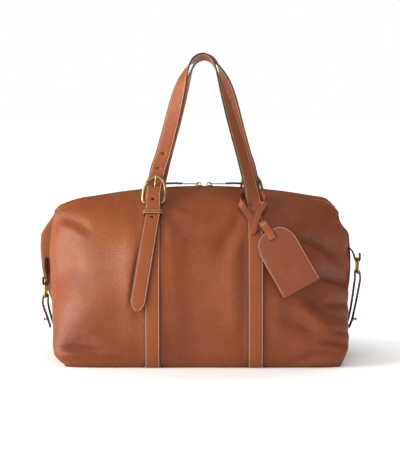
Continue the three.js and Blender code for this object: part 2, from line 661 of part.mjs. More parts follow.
function endStrap(where) {
  const { end, ringTop } = where;
  const x = ringX(where);
  const low = ringTop - RING_HIGH;
  const footT = END_STRAP_FOOT / EAR_HEIGHT;
  const valley = end * (halfLength(end, footT) - foldDepth(footT) + 1.9);
  const faceIn = vec(-end, 0, 0);
  const faceOut = vec(end, 0, 0);
  const inner = [[vec(valley, 0, END_STRAP_FOOT), faceIn], [vec(valley + end * 1.6, 0, 46), faceIn],
    [vec(mix(valley, x, 0.45), 0, 64), faceIn], [vec(x - end * TAB_WRAP, 0, low - 12), faceIn]];
  const outer = [[vec(x + end * (TAB_WRAP + 0.8), 0, low - 12), faceOut],
    [vec(mix(valley, x, 0.45) + end * 6.4, 0, STUD_Z), faceOut],
    [vec(mix(valley, x, 0.3) + end * 5, 0, STUD_Z - 14), faceOut]];
  const stations = [...inner, ...roundBar(x, low, end, -1), ...outer];
  return strap(stations.map((s) => s[0]), stations.map((s) => s[1]), END_STRAP_WIDTH - 2, 2);
}

function endStud(where) {
  const { end, ringTop } = where;
  const x = ringX(where);
  const footT = END_STRAP_FOOT / EAR_HEIGHT;
  const valley = end * (halfLength(end, footT) - foldDepth(footT) + 1.9);
  const seat = mix(valley, x, 0.45) + end * (6.4 + 2);
  const profile = [[0, 0], [3.6, 0], [3.6, 0.8], [1.4, 1.2], [1.4, 2.4], [2.6, 3.6], [2.2, 5], [0, 5.8]]
    .map(([r, h]) => new THREE.Vector2(r, h));
  const lean = Math.atan2(Math.abs(x - valley) * 0.5, ringTop - RING_HIGH - 12 - STUD_Z + 14);
  const stud = new THREE.LatheGeometry(profile, 12).rotateZ(end * -Math.PI / 2);
  return stud.rotateY(end * lean * 0.4).translate(seat, 0, STUD_Z);
}

// ---- luggage tag --------------------------------------------------------------------------------
const TAG_WIDE = 64;
const TAG_LONG = 104;
const TAG_LAYER = 1.6;
const TAG_STRAP_WIDTH = 11;
const TAG_STRAP_THICK = 1.6;
const tagTop = vec(103, -103.5, 219);
const tagDown = vec(54, -31, -95).normalize();
const tagAcross = vec(0.848, 0, 0.53);
tagAcross.addScaledVector(tagDown, -tagAcross.dot(tagDown)).normalize();
const tagOut = vec(0, 0, 0).crossVectors(tagDown, tagAcross).normalize();
const onTag = (across, down, out) => tagTop.clone()
  .addScaledVector(tagAcross, across)
  .addScaledVector(tagDown, down)
  .addScaledVector(tagOut, out);

// shoulders are big quarter ellipses, the lower corners small rounds
function tagLayer(out) {
  const half = TAG_WIDE / 2;
  const shape = new THREE.Shape();
  shape.moveTo(-half + 2, TAG_LONG);
  shape.lineTo(half - 2, TAG_LONG);
  shape.quadraticCurveTo(half, TAG_LONG, half, TAG_LONG - 2);
  shape.lineTo(half, 34);
  shape.bezierCurveTo(half, 16, 24, 2, 9, 0);
  shape.lineTo(-9, 0);
  shape.bezierCurveTo(-24, 2, -half, 16, -half, 34);
  shape.lineTo(-half, TAG_LONG - 2);
  shape.quadraticCurveTo(-half, TAG_LONG, -half + 2, TAG_LONG);
  const options = { depth: TAG_LAYER, bevelEnabled: false, curveSegments: 7 };
  const layer = new THREE.ExtrudeGeometry(shape, options);
  const placed = new THREE.Matrix4().makeBasis(tagAcross.clone().negate(), tagDown, tagOut);
  placed.setPosition(onTag(0, 0, out));
  return layer.applyMatrix4(placed);
}

// the tab is sewn to the tag's face and folds back over the end of the tag strap
function tagTab() {
  const front = TAG_LAYER + 0.3 + TAG_STRAP_THICK / 2;
  const path = [onTag(-1, 16, front), onTag(-1, 4, front), onTag(-2, -6, front + 1.2),
    onTag(-3, -17, front + 1.6)];
  return strap(path, path.map(() => tagOut), 12, TAG_STRAP_THICK);
}

// The tag strap goes once round the plain side of the front handle and crosses itself in front.
function tagStrap() {
  const face = (x, z, lift) => {
    const t = z / zipHeight(x);
    return [onStrapLine(-1, x, t, lift), outwardAt(x, t)];
  };
  const first = LAY + STRAP_THICK / 2 + 1 + TAG_STRAP_THICK / 2;
  const second = first + TAG_STRAP_THICK + 0.5;
  const keys = [
    face(78, 209, first),
    face(81.5, 224, second),
    face(87, 238, second + 0.4),
    face(96, 250, second + 1),
    [vec(100, -60, 264), vec(1, -0.3, 0)],
    [vec(92, -45.5, 273), vec(0.4, 1, 0)],
    [vec(79, -42.8, 275.5), vec(0, 1, 0)],
    [vec(66, -45.5, 272.5), vec(-0.4, 1, 0)],
    [vec(58.5, -61, 263), vec(-1, -0.3, 0)],
    face(64, 247, first + 1.6),
    face(74, 235, first),
    face(85, 224, first),
    face(91, 216, first),
  ];
  const lift = (k, axis, at) => through(keys.map((s, i) => [i, s[k].getComponent(axis)]), at);
  const steps = (keys.length - 1) * 3;
  const at = (k, i) => vec(lift(k, 0, i / 3), lift(k, 1, i / 3), lift(k, 2, i / 3));
  const path = Array.from({ length: steps + 1 }, (_, i) => at(0, i));
  const outward = Array.from({ length: steps + 1 }, (_, i) => at(1, i).normalize());
  const width = (s) => TAG_STRAP_WIDTH * (s > 0.04 ? 1 : mix(0.5, 1, s / 0.04));
  return strap(path, outward, width, TAG_STRAP_THICK);
}

// ---- materials and assembly ---------------------------------------------------------------------
const leather = () => new THREE.MeshStandardMaterial({ color: 0xa5633f, roughness: 0.55, metalness: 0 });
const darkLeather = () => new THREE.MeshStandardMaterial({ color: 0x8a4f30, roughness: 0.6, metalness: 0 });
const brass = () => new THREE.MeshStandardMaterial({ color: 0xb08a3c, roughness: 0.35, metalness: 1 });
const tapeCloth = () => new THREE.MeshStandardMaterial({ color: 0x4a2e20, roughness: 0.9, metalness: 0 });
const liningCloth = () => new THREE.MeshStandardMaterial({ color: 0xb9a68a, roughness: 0.95, metalness: 0 });
const board = () => new THREE.MeshStandardMaterial({ color: 0x5a4a3c, roughness: 0.9, metalness: 0 });

const bag = new THREE.Group();
const add = (name, geometry, material, parent = bag) => {
  const mesh = new THREE.Mesh(geometry, material);
  mesh.name = name;
  parent.add(mesh);
  return mesh;
};

add('front_panel', panel(-1), leather());
add('back_panel', panel(1), leather());
add('left_gusset', gusset(-1), leather());
add('right_gusset', gusset(1), leather());
add('base_panel', basePanel(), darkLeather());
add('base_board', baseBoard(), board());
add('lining', lining(), liningCloth());

add('zip_tape_front', zipTape(-1), tapeCloth());
add('zip_tape_back', zipTape(1), tapeCloth());
add('zip_teeth_front', zipTeeth(-1), brass());
add('zip_teeth_back', zipTeeth(1), brass());

const SLIDER_REST = 8.5;
for (const [name, end] of [['left', -1], ['right', 1]]) {
  const ride = new THREE.Group();
  ride.position.set(end * SLIDER_REST, 0, zipHeight(SLIDER_REST));
  ride.rotation.z = end < 0 ? Math.PI : 0;
  bag.add(ride);
  add(`zip_slider_${name}`, sliderBody(), brass(), ride);
  add(`zip_pull_${name}`, pullBar(), brass(), ride);
  add(`zip_puller_${name}`, puller(), leather(), ride);
  add(`zip_end_tab_${name}`, zipEndTab(end), leather());
}

add('left_body_strap', leftBodyStrap(), leather());
add('right_body_strap', rightBodyStrap(), leather());

const buckled = {
  handle: [handle(), leather],
  handle_throat: [throat(), leather],
  handle_tail: [tail(), leather],
  keeper: [keeper(), leather],
  buckle_frame: [buckleFrame(), brass],
  buckle_prong: [prong(), brass],
};
for (const [name, [geometry, material]] of Object.entries(buckled)) {
  add(`front_${name}`, geometry, material());
  add(`back_${name}`, frontToBack(geometry), material());
}

for (const [name, where] of Object.entries(ENDS)) {
  add(`${name}_end_tab`, endTab(where), leather());
  add(`${name}_end_ring`, endRing(where), brass());
  add(`${name}_end_strap`, endStrap(where), darkLeather());
  add(`${name}_end_stud`, endStud(where), brass());
}

add('tag_strap', tagStrap(), leather());
add('tag_tab', tagTab(), leather());
add('tag_front', tagLayer(0), leather());
add('tag_back', tagLayer(-TAG_LAYER - 0.4), leather());

export default bag;
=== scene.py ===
import math

import bmesh
import bpy
import numpy as np
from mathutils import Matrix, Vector, noise


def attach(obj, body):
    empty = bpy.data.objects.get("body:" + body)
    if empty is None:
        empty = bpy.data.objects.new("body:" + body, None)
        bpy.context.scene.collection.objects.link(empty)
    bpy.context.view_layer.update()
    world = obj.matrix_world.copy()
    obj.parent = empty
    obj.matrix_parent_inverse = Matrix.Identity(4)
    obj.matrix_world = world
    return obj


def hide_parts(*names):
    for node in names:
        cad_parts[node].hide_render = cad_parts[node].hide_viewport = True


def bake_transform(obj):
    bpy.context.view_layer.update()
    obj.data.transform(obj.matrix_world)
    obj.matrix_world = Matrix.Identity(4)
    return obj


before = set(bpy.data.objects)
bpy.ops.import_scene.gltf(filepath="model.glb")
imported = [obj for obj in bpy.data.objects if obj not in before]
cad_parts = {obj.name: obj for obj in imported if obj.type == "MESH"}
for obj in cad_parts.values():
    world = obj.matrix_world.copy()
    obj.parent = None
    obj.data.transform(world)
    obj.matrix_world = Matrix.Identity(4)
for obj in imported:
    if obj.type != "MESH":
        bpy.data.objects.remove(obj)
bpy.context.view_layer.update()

# ---- camera -------------------------------------------------------------------------------------
# The eye is above the zip and below the top of the handles, almost three metres off, with a long
# lens, and looks down a little.
camera_data = bpy.data.cameras.new("camera")
camera_data.sensor_width = 36
camera_data.lens = 130.2
camera = bpy.data.objects.new("camera", camera_data)
bpy.context.scene.collection.objects.link(camera)
look_down, distance, aim_height = math.radians(4.5), 2.74, 0.2113
aside = -0.0064
camera.location = (aside, -distance * math.cos(look_down), aim_height + distance * math.sin(look_down))
camera.rotation_euler = (math.pi / 2 - look_down, 0, 0)
bpy.context.scene.camera = camera

# ---- body leather -------------------------------------------------------------------------------
# One soft hide, full grain and lightly milled, so its pebbles are small and its folds are round.
# Tanned a warm tan, with painted shade in its folds and pebble valleys and painted light on raised places.


def shader_group(name, inputs, outputs):
    """An empty shader node group with these sockets, and its two end nodes."""
    group = bpy.data.node_groups.new(name, "ShaderNodeTree")
    for label, kind, value in inputs:
        socket = group.interface.new_socket(label, in_out="INPUT", socket_type=kind)
        if value is not None:
            socket.default_value = value
    for label, kind in outputs:
        group.interface.new_socket(label, in_out="OUTPUT", socket_type=kind)
    return group, group.nodes.new("NodeGroupInput"), group.nodes.new("NodeGroupOutput")


def node(tree, kind, inputs=None, **settings):
    """A node with its settings made, and each input given a value or linked from a socket."""
    made = tree.nodes.new(kind)
    for key, value in settings.items():
        setattr(made, key, value)
    for key, value in (inputs or {}).items():
        if isinstance(value, bpy.types.NodeSocket):
            tree.links.new(value, made.inputs[key])
        else:
            made.inputs[key].default_value = value
    return made


def pebbled_grain():
    """Small rounded pebbles with narrow valleys between them, and fine pores on top."""
    group, ins, outs = shader_group(
        "pebbled grain",
        [("Vector", "NodeSocketVector", None), ("Pebbles per metre", "NodeSocketFloat", 700.0)],
        [("Height", "NodeSocketFloat"), ("Valleys", "NodeSocketFloat")],
    )
    place, density = ins.outputs["Vector"], ins.outputs["Pebbles per metre"]
    drift = node(group, "ShaderNodeTexNoise", {"Vector": place, "Scale": 260.0, "Detail": 2.0})
    pushed = node(group, "ShaderNodeVectorMath", {0: drift.outputs["Color"], 1: (0.5, 0.5, 0.5)},
                  operation="SUBTRACT")
    small = node(group, "ShaderNodeVectorMath", {0: pushed.outputs[0], "Scale": 0.0016}, operation="SCALE")
    moved = node(group, "ShaderNodeVectorMath", {0: place, 1: small.outputs[0]}, operation="ADD")
    cells = node(group, "ShaderNodeTexVoronoi", {
        "Vector": moved.outputs[0], "Scale": density, "Smoothness": 0.35}, feature="SMOOTH_F1")
    dome = node(group, "ShaderNodeMapRange", {
        "Value": cells.outputs["Distance"], "From Min": 0.12, "From Max": 0.72, "To Min": 1.0, "To Max": 0.0},
        interpolation_type="SMOOTHSTEP")
    pores = node(group, "ShaderNodeTexNoise", {"Vector": place, "Scale": 2600.0, "Detail": 2.0})
    fine = node(group, "ShaderNodeMath", {0: pores.outputs["Fac"], 1: 0.22}, operation="MULTIPLY")
    height = node(group, "ShaderNodeMath", {0: dome.outputs[0], 1: fine.outputs[0]}, operation="ADD")
    valley = node(group, "ShaderNodeMapRange", {"Value": dome.outputs[0], "From Min": 0.0, "From Max": 0.45,
                                                "To Min": 1.0, "To Max": 0.0})
    group.links.new(height.outputs[0], outs.inputs["Height"])
    group.links.new(valley.outputs[0], outs.inputs["Valleys"])
    return group


def mix_colour(tree, share, first, second):
    """A colour mix. Each of its three inputs is a socket or a value."""
    made = tree.nodes.new("ShaderNodeMix")
    made.data_type = "RGBA"
    for slot, value in ((0, share), (6, first), (7, second)):
        if isinstance(value, bpy.types.NodeSocket):
            tree.links.new(value, made.inputs[slot])
        else:
            made.inputs[slot].default_value = value
    return made.outputs[2]


def hide_tone_and_shade():
    """A dyed hide's colour, a little cloudy, with painted shade in folds and valleys, painted light where
    raised.
    """
    group, ins, outs = shader_group(
        "hide tone and shade",
        [("Vector", "NodeSocketVector", None), ("Deep", "NodeSocketColor", None),
         ("Main", "NodeSocketColor", None), ("Pale", "NodeSocketColor", None),
         ("Relief", "NodeSocketFloat", 0.5), ("Valleys", "NodeSocketFloat", 0.0)],
        [("Color", "NodeSocketColor")],
    )
    place = ins.outputs["Vector"]
    clouds = node(group, "ShaderNodeTexNoise", {
        "Vector": place, "Scale": 13.0, "Detail": 5.0, "Roughness": 0.62})
    spots = node(group, "ShaderNodeTexNoise", {
        "Vector": place, "Scale": 160.0, "Detail": 3.0, "Roughness": 0.6})
    both = node(group, "ShaderNodeMath", {0: clouds.outputs["Fac"], 1: 0.7}, operation="MULTIPLY")
    spotty = node(group, "ShaderNodeMath", {0: spots.outputs["Fac"], 1: 0.3, 2: both.outputs[0]},
                  operation="MULTIPLY_ADD")
    # painted shade and light: the fold relief darkens the colour in folds and pales it where the leather is
    # raised
    raised = node(group, "ShaderNodeMath", {0: ins.outputs["Relief"], 1: 0.5}, operation="SUBTRACT")
    shade = node(group, "ShaderNodeMath", {0: raised.outputs[0], 1: 0.14, 2: spotty.outputs[0]},
                 operation="MULTIPLY_ADD")
    low = node(group, "ShaderNodeMapRange", {"Value": shade.outputs[0], "From Min": 0.20, "From Max": 0.50},
               interpolation_type="SMOOTHSTEP")
    high = node(group, "ShaderNodeMapRange", {"Value": shade.outputs[0], "From Min": 0.50, "From Max": 0.84},
                interpolation_type="SMOOTHSTEP")
    body = mix_colour(group, low.outputs[0], ins.outputs["Deep"], ins.outputs["Main"])
    body = mix_colour(group, high.outputs[0], body, ins.outputs["Pale"])
    # painted shade: the pebble valleys are darkened towards the deep colour
    valley_shade = node(group, "ShaderNodeMath", {0: ins.outputs["Valleys"], 1: 0.35}, operation="MULTIPLY")
    body = mix_colour(group, valley_shade.outputs[0], body, ins.outputs["Deep"])
    group.links.new(body, outs.inputs["Color"])
    return group


GRAIN = pebbled_grain()
TONE_AND_SHADE = hide_tone_and_shade()


def new_material(name):
    """A new node material, with its tree, its shader and the place on the object."""
    material = bpy.data.materials.new(name)
    material.use_nodes = True
    tree = material.node_tree
    shader = tree.nodes["Principled BSDF"]
    return material, tree, shader, node(tree, "ShaderNodeTexCoord").outputs["Object"]


def raise_by(tree, shader, height, strength, depth):
    """Bumps a shader by a height socket."""
    raised = node(tree, "ShaderNodeBump", {"Height": height, "Strength": strength, "Distance": depth})
    tree.links.new(raised.outputs["Normal"], shader.inputs["Normal"])


EDGE_PAINT = (0.022, 0.013, 0.010, 1)


def leather(name, deep, main, pale, pebbles, bump, rough, painted=False):
    """A leather material. A painted one reads the edge attribute for its dark painted edges."""
    material, tree, shader, place = new_material(name)
    grain = node(tree, "ShaderNodeGroup", node_tree=GRAIN)
    tree.links.new(place, grain.inputs["Vector"])
    grain.inputs["Pebbles per metre"].default_value = pebbles
    tone = node(tree, "ShaderNodeGroup", node_tree=TONE_AND_SHADE)
    tree.links.new(place, tone.inputs["Vector"])
    for label, value in (("Deep", deep), ("Main", main), ("Pale", pale)):
        tone.inputs[label].default_value = (*value, 1)
    tree.links.new(grain.outputs["Valleys"], tone.inputs["Valleys"])
    # the relief attribute's fold heights paint shade into the folds and light onto the raised leather
    relief = node(tree, "ShaderNodeAttribute", attribute_name="relief")
    tree.links.new(relief.outputs["Fac"], tone.inputs["Relief"])
    colour = tone.outputs["Color"]
    worn = node(tree, "ShaderNodeTexNoise", {"Vector": place, "Scale": 45.0, "Detail": 4.0})
    rubbed = node(tree, "ShaderNodeMapRange", {
        "Value": worn.outputs["Fac"], "From Min": 0.3, "From Max": 0.7,
        "To Min": rough - 0.07, "To Max": rough + 0.07})
    matt = node(tree, "ShaderNodeMath", {0: grain.outputs["Valleys"], 1: 0.12, 2: rubbed.outputs[0]},
                operation="MULTIPLY_ADD")
    roughness = matt.outputs[0]
    if painted:
        edge = node(tree, "ShaderNodeAttribute", attribute_name="edge")
        mask = node(tree, "ShaderNodeMapRange", {
            "Value": edge.outputs["Fac"], "From Min": 0.35, "From Max": 0.6})
        colour = mix_colour(tree, mask.outputs[0], colour, EDGE_PAINT)
        glossy = node(tree, "ShaderNodeMix", {0: mask.outputs[0], 2: roughness, 3: 0.38})
        roughness = glossy.outputs[0]
    tree.links.new(colour, shader.inputs["Base Color"])
    tree.links.new(roughness, shader.inputs["Roughness"])
    shader.inputs["Specular IOR Level"].default_value = 0.40
    raise_by(tree, shader, grain.outputs["Height"], bump, 0.0004)
    return material


BODY_LEATHER = leather("body leather", (0.124, 0.023, 0.003), (0.202, 0.043, 0.004), (0.272, 0.065, 0.009),
                       600.0, 0.62, 0.40)
MM = 0.001


def smooth(t, a, b):
    q = np.clip((np.asarray(t, float) - a) / (b - a), 0, 1)
    return q * q * (3 - 2 * q)


def mix(a, b, q):
    return a + (b - a) * q


def through(stations, at):
    """A smooth curve through [position, value] stations."""
    table = np.asarray(stations, float)
    xs, ys = table[:, 0], table[:, 1]
    last = len(xs) - 1
    x = np.clip(np.asarray(at, float), xs[0], xs[-1])
    i = np.clip(np.searchsorted(xs, x, side="left") - 1, 0, last - 1)
    k = np.arange(last + 1)
    before, after = np.maximum(k - 1, 0), np.minimum(k + 1, last)
    slopes = (ys[after] - ys[before]) / (xs[after] - xs[before])
    h = xs[i + 1] - xs[i]
    q = (x - xs[i]) / h
    bend = ys[i] * (1 + 2 * q) * (1 - q) ** 2 + ys[i + 1] * q * q * (3 - 2 * q)
    return bend + h * q * (1 - q) * (slopes[i] * (1 - q) - slopes[i + 1] * q)


# ---- body shell ---------------------------------------------------------------------------------
# Front, back and the two folded ends are sewn into one soft shell that stands up by its own weight
# of leather. Its ends fold in between rounded ridges, and its top edges turn in beside the zip.
BODY_HEIGHT, EAR_HEIGHT = 283.0, 246.0
TAIL_DRIFT = 25
BODY_HALF_DEPTH, RIDGE_BASE, ZIP_HALF_GAP = 118.0, 100.0, 8.0
ZIP_ARC_RADIUS, ZIP_ARC_HALF = 1000.0, 190.0
FOOT_T = 3.4 / BODY_HEIGHT
STRAP_OFFSET = 82.0
LEFT_LENGTH = [[0, 219], [8, 231], [20, 240], [60, 246], [150, 258], [205, 258], [246, 246]]
RIGHT_LENGTH = [[0, 218], [8, 223], [20, 226], [60, 228], [150, 234], [205, 231], [246, 222]]


def half_length(end, t):
    at = np.asarray(t, float) * EAR_HEIGHT
    return np.where(np.asarray(end) < 0, through(LEFT_LENGTH, at), through(RIGHT_LENGTH, at))


def arc_drop(d):
    """How far the zip's arc has come down at a distance from its middle."""
    return ZIP_ARC_RADIUS - np.sqrt(ZIP_ARC_RADIUS ** 2 - d * d)


def zip_height(x):
    x = np.asarray(x, float)
    end = half_length(x, np.ones_like(x))
    past = np.maximum(0, np.abs(x) - ZIP_ARC_HALF) / (end - ZIP_ARC_HALF)
    drop = BODY_HEIGHT - EAR_HEIGHT - arc_drop(end)
    return BODY_HEIGHT - arc_drop(np.abs(x)) - drop * past * past


def foot_rounding(t):
    return 12 * np.maximum(0, 1 - t / 0.08) ** 2


def ridge(t):
    return ZIP_HALF_GAP + (RIDGE_BASE - ZIP_HALF_GAP) * (1 - smooth(t, 0.05, 0.66))


def panel_point(side, u, t):
    """A point of a panel's face: u from the left ridge to the right, t from the floor to the zip."""
    u, t = np.broadcast_arrays(np.asarray(u, float), np.asarray(t, float))
    crest = ZIP_HALF_GAP + (BODY_HALF_DEPTH - ZIP_HALF_GAP) * np.maximum(0, 1 - t ** 4.2) ** 0.8
    x = u * half_length(u, t)
    roundness = mix(14, 3.2, smooth(t, 0, 0.6))
    plan = np.maximum(0, 1 - np.abs(u) ** roundness) ** 0.75
    depth = ridge(t) + (crest - ridge(t)) * plan - foot_rounding(t) * mix(0.4, 1, plan)
    return np.stack([x, side * depth, t * zip_height(x)], -1)


def unit(v):
    return v / np.maximum(np.linalg.norm(v, axis=-1, keepdims=True), 1e-12)


def panel_normal(side, u, t):
    d = 0.004
    u, t = np.asarray(u, float), np.asarray(t, float)
    across = panel_point(side, np.minimum(u + d, 1), t) - panel_point(side, np.maximum(u - d, -1), t)
    up = panel_point(side, u, np.minimum(t + d, 1)) - panel_point(side, u, np.maximum(t - d, 0))
    return unit(np.cross(across, up) * -side)


def fold_depth(t):
    return 46 * smooth(t, 0.08, 0.6) * (1 - 0.4 * smooth(t, 0.75, 1))


def gusset_point(end, s, t):
    s, t = np.broadcast_arrays(np.asarray(s, float), np.asarray(t, float))
    length = half_length(end, t)
    edge = ridge(t) - foot_rounding(t) * 0.4
    x = length - fold_depth(t) * (1 - s * s)
    return np.stack([end * x, s * edge, t * zip_height(end * length)], -1)


def fold(x, z, start, stop, width, depth, bow=0.0, lip=0.55):
    """A soft fold from start to stop: a valley with a raised lip under it, faded out at both ends."""
    run = np.array(stop, float) - np.array(start, float)
    length = np.linalg.norm(run)
    along = run / length
    dx, dz = x - start[0], z - start[1]
    s = (dx * along[0] + dz * along[1]) / length
    off = dz * along[0] - dx * along[1] - bow * 4 * s * (1 - s)
    fade = 1 - smooth(np.abs(2 * s - 1), 0.35, 1.25)
    valley = np.exp(-(off / width) ** 2)
    raised = np.exp(-((off + 1.8 * width) / (1.1 * width)) ** 2)
    return fade * depth * (lip * raised - valley)


# start x and z, stop x and z, width, depth, bow
FRONT_FOLDS = [
    ((-64, 252), (-36, 208), 11, 2.4, 4), ((-60, 262), (-18, 250), 7, 1.4, 0),
    ((-238, 232), (-182, 214), 8, 2.6, 5), ((-232, 205), (-205, 150), 12, 2.0, -5),
    ((-232, 30), (-158, 25), 4.5, 5.4, 3), ((-200, 17), (-112, 12), 5, 3.4, 2),
    ((-116, 92), (-98, 80), 3, 1.4, 0), ((-180, 60), (-110, 44), 12, 1.8, 4),
    ((18, 180), (60, 244), 13, 5.0, -4), ((-20, 232), (40, 258), 10, 2.2, 0),
    ((98, 258), (150, 236), 9, 2.6, -3), ((150, 212), (224, 166), 12, 8.0, 6),
    ((118, 205), (178, 196), 10, 2.4, 0), ((182, 146), (236, 124), 9, 8.0, 4),
    ((192, 104), (234, 92), 6, 5.0, 2), ((160, 122), (230, 72), 11, 5.5, -5),
    ((184, 42), (232, 34), 5, 5.4, 2), ((138, 8), (224, 30), 6, 4.4, 3),
    ((116, 82), (180, 58), 13, 3.6, 4), ((204, 60), (232, 52), 4, 3.0, 0),
]
BACK_FOLDS = [
    ((-64, 252), (-30, 214), 11, 3.2, 3), ((-236, 226), (-180, 208), 8, 2.6, 4),
    ((-226, 24), (-160, 20), 5, 3.2, 3), ((24, 200), (62, 246), 13, 3.0, -3),
    ((146, 206), (222, 172), 12, 4.4, 6), ((190, 140), (233, 122), 9, 4.6, 4),
    ((186, 44), (226, 34), 5, 3.4, 2), ((-140, 120), (-96, 96), 12, 1.6, 3),
    ((110, 150), (176, 132), 14, 2.0, 4), ((-30, 40), (40, 32), 12, 1.4, 3),
]


def swell(point, size, seed):
    return noise.noise(Vector((point[0] / size + seed, point[1] / size, point[2] / size)))


def panel_relief(side, points, t):
    """How far the leather stands off its plain shape, in millimetres, over a grid of points."""
    x, z = points[..., 0], points[..., 2]
    x = x if side < 0 else -x
    relief = np.zeros(x.shape)
    for start, stop, width, depth, bow in (FRONT_FOLDS if side < 0 else BACK_FOLDS):
        relief += fold(x, z, start, stop, width, depth, bow)
    flat = points.reshape(-1, 3)
    broad = np.array([swell(p, 105.0, 3.0 + side) * 5.0 + swell(p, 44.0, 9.0 + side) * 1.5 for p in flat])
    relief += broad.reshape(x.shape)
    beside = np.abs(np.abs(x) - STRAP_OFFSET)
    free = smooth(beside, 13.5, 30)
    relief = relief * free
    puffed = 2.6 * np.exp(-((beside - 34) / 16) ** 2) * smooth(t, 0.05, 0.3) * (1 - smooth(t, 0.8, 0.95))
    relief += puffed + 1.1 * (1 - smooth(beside, 12.7, 20))
    tail_line = -STRAP_OFFSET - TAIL_DRIFT * np.clip((0.845 - t) / 0.52, 0, 1)
    near_tail = (1 - smooth(np.abs(x - tail_line), 14, 24)) * smooth(t, 0.28, 0.36)
    # under the tail and the tag the leather swells little, and 99 leaves it free everywhere else
    relief = np.minimum(relief, mix(99, 1.3, near_tail))
    if side < 0:
        beside_tag = smooth(x, 60, 76) * (1 - smooth(x, 178, 196))
        near_tag = beside_tag * smooth(t, 0.34, 0.42) * (1 - smooth(t, 0.93, 0.97))
        relief = np.minimum(relief, mix(99, 1.2, near_tag))
    return relief * (1 - smooth(t, 0.955, 0.995)) * smooth(t, 0.0, 0.05)


rows = 96
row_s = np.linspace(0, 1, rows)
row_t = mix(FOOT_T, 1, row_s * mix(1, 2 - row_s, 0.55))[:, None]
line = np.linspace(-1, 1, 178)
column_u = (0.4 * line + 0.6 * np.sin(line * math.pi / 2))[None, :]
side_line = np.linspace(-1, 1, 44)[None, 1:-1]
column_s = 0.4 * side_line + 0.6 * np.sin(side_line * math.pi / 2)

front = panel_point(-1, column_u, row_t)
back = panel_point(1, -column_u, row_t)
right = gusset_point(1, column_s, row_t)
left = gusset_point(-1, -column_s, row_t)
ring = np.concatenate([front, right, back, left], axis=1)
relief = np.concatenate([
    panel_relief(-1, front, row_t), np.zeros(right.shape[:2]),
    panel_relief(1, back, row_t), np.zeros(left.shape[:2])], axis=1)
pleats = np.array([swell(p, 36.0, 21.0) * 2.2 for p in ring.reshape(-1, 3)]).reshape(ring.shape[:2])
in_gusset = np.zeros(ring.shape[1])
n_front, n_side = front.shape[1], right.shape[1]
in_gusset[n_front:n_front + n_side] = 1
in_gusset[2 * n_front + n_side:] = 1
relief += pleats * in_gusset * smooth(row_t, 0.02, 0.12) * (1 - smooth(row_t, 0.9, 1.0)) * 0.5

# filled from inside, the back ridges stand out past the front ones, and the folded ends show between
share_up = smooth(row_t, 0.03, np.where(ring[..., 0] < 0, 0.60, 0.16)) * (1 - smooth(row_t, 0.84, 1.0))
edge_share = np.abs(ring[..., 0]) / half_length(ring[..., 0], np.broadcast_to(row_t, ring.shape[:2]))
past_ridge = np.maximum(np.abs(ring[..., 1]) - ridge(row_t), 0)
beside_ridge = np.exp(-(past_ridge / 22) ** 2) * smooth(edge_share, 0.80, 0.97)
to_back = smooth(ring[..., 1], -5, 5)
push = np.where(ring[..., 0] < 0, mix(-5.0, 13.0, to_back), mix(6.0, 12.0, to_back))
ring[..., 0] += np.sign(ring[..., 0]) * push * beside_ridge * share_up

# the four ridges are rounded by averaging each ring near its corners
corner = np.zeros(ring.shape[1])
for at in (n_front - 0.5, n_front + n_side - 0.5, 2 * n_front + n_side - 0.5, -0.5):
    away = np.abs((np.arange(ring.shape[1]) - at + ring.shape[1] / 2) % ring.shape[1] - ring.shape[1] / 2)
    corner = np.maximum(corner, np.clip(1.3 - away / 5, 0, 1))
for _ in range(6):
    middle = (np.roll(ring, 1, 1) + np.roll(ring, -1, 1)) / 2
    ring = ring + (middle - ring) * 0.5 * corner[None, :, None]
    relief = relief + ((np.roll(relief, 1, 1) + np.roll(relief, -1, 1)) / 2 - relief) * 0.8 * corner[None, :]

around = np.roll(ring, -1, 1) - np.roll(ring, 1, 1)
upward = np.gradient(ring, axis=0)
outward = unit(np.cross(around, upward))
outward[-1] = outward[-2]
shell_points = ring + outward * relief[..., None]


def ear_dip(x):
    """How far the two ears round down below the zip's line. The right one is packed less full."""
    share = np.abs(x) / half_length(x, 1.0)
    return np.where(np.asarray(x) < 0, 4.5 * smooth(share, 0.955, 1.0) ** 1.5, 7.0 * smooth(share, 0.90, 1.0))


# the leather stands a little over the zip, and rounds down at the ears
shell_points[..., 2] += smooth(row_t, 0.97, 1) * (0.8 + 1.6 * smooth(np.abs(ring[..., 0]), 170, 215))
shell_points[..., 2] -= smooth(row_t, 0.80, 1) * ear_dip(ring[-1, :, 0])

# the lower edge comes down to the floor, except where a strap turns under it
edge_x = shell_points[0, :, 0]
strap_room = 1 - smooth(np.abs(np.abs(edge_x) - STRAP_OFFSET), 14, 19)
lowest = shell_points[0].copy()
lowest[:, 2] = mix(0.7, 3.3, strap_room)
lowest[:, :2] -= outward[0][:, :2] * 0.5
shell_points = np.concatenate([lowest[None], shell_points], axis=0)
shell_relief = np.concatenate([relief[:1], relief], axis=0)


def make_mesh(name, points, faces, material, attributes=None, smooth_faces=True):
    """A mesh piece from points in millimetres."""
    mesh = bpy.data.meshes.new(name)
    mesh.from_pydata((np.asarray(points, float) * MM).tolist(), [], faces)
    mesh.materials.append(material)
    for label, values in (attributes or {}).items():
        attribute = mesh.attributes.new(label, "FLOAT", "POINT")
        attribute.data.foreach_set("value", np.asarray(values, np.float32).ravel())
    if smooth_faces:
        mesh.polygons.foreach_set("use_smooth", [True] * len(mesh.polygons))
    mesh.update()
    made = bpy.data.objects.new(name, mesh)
    bpy.context.scene.collection.objects.link(made)
    return made


def grid_faces(n_rows, n_columns, loop):
    """Quads over a grid of points, joined round into a loop of columns or left open."""
    wide = n_columns if loop else n_columns - 1
    return [(r * n_columns + c, r * n_columns + (c + 1) % n_columns,
             (r + 1) * n_columns + (c + 1) % n_columns, (r + 1) * n_columns + c)
            for r in range(n_rows - 1) for c in range(wide)]


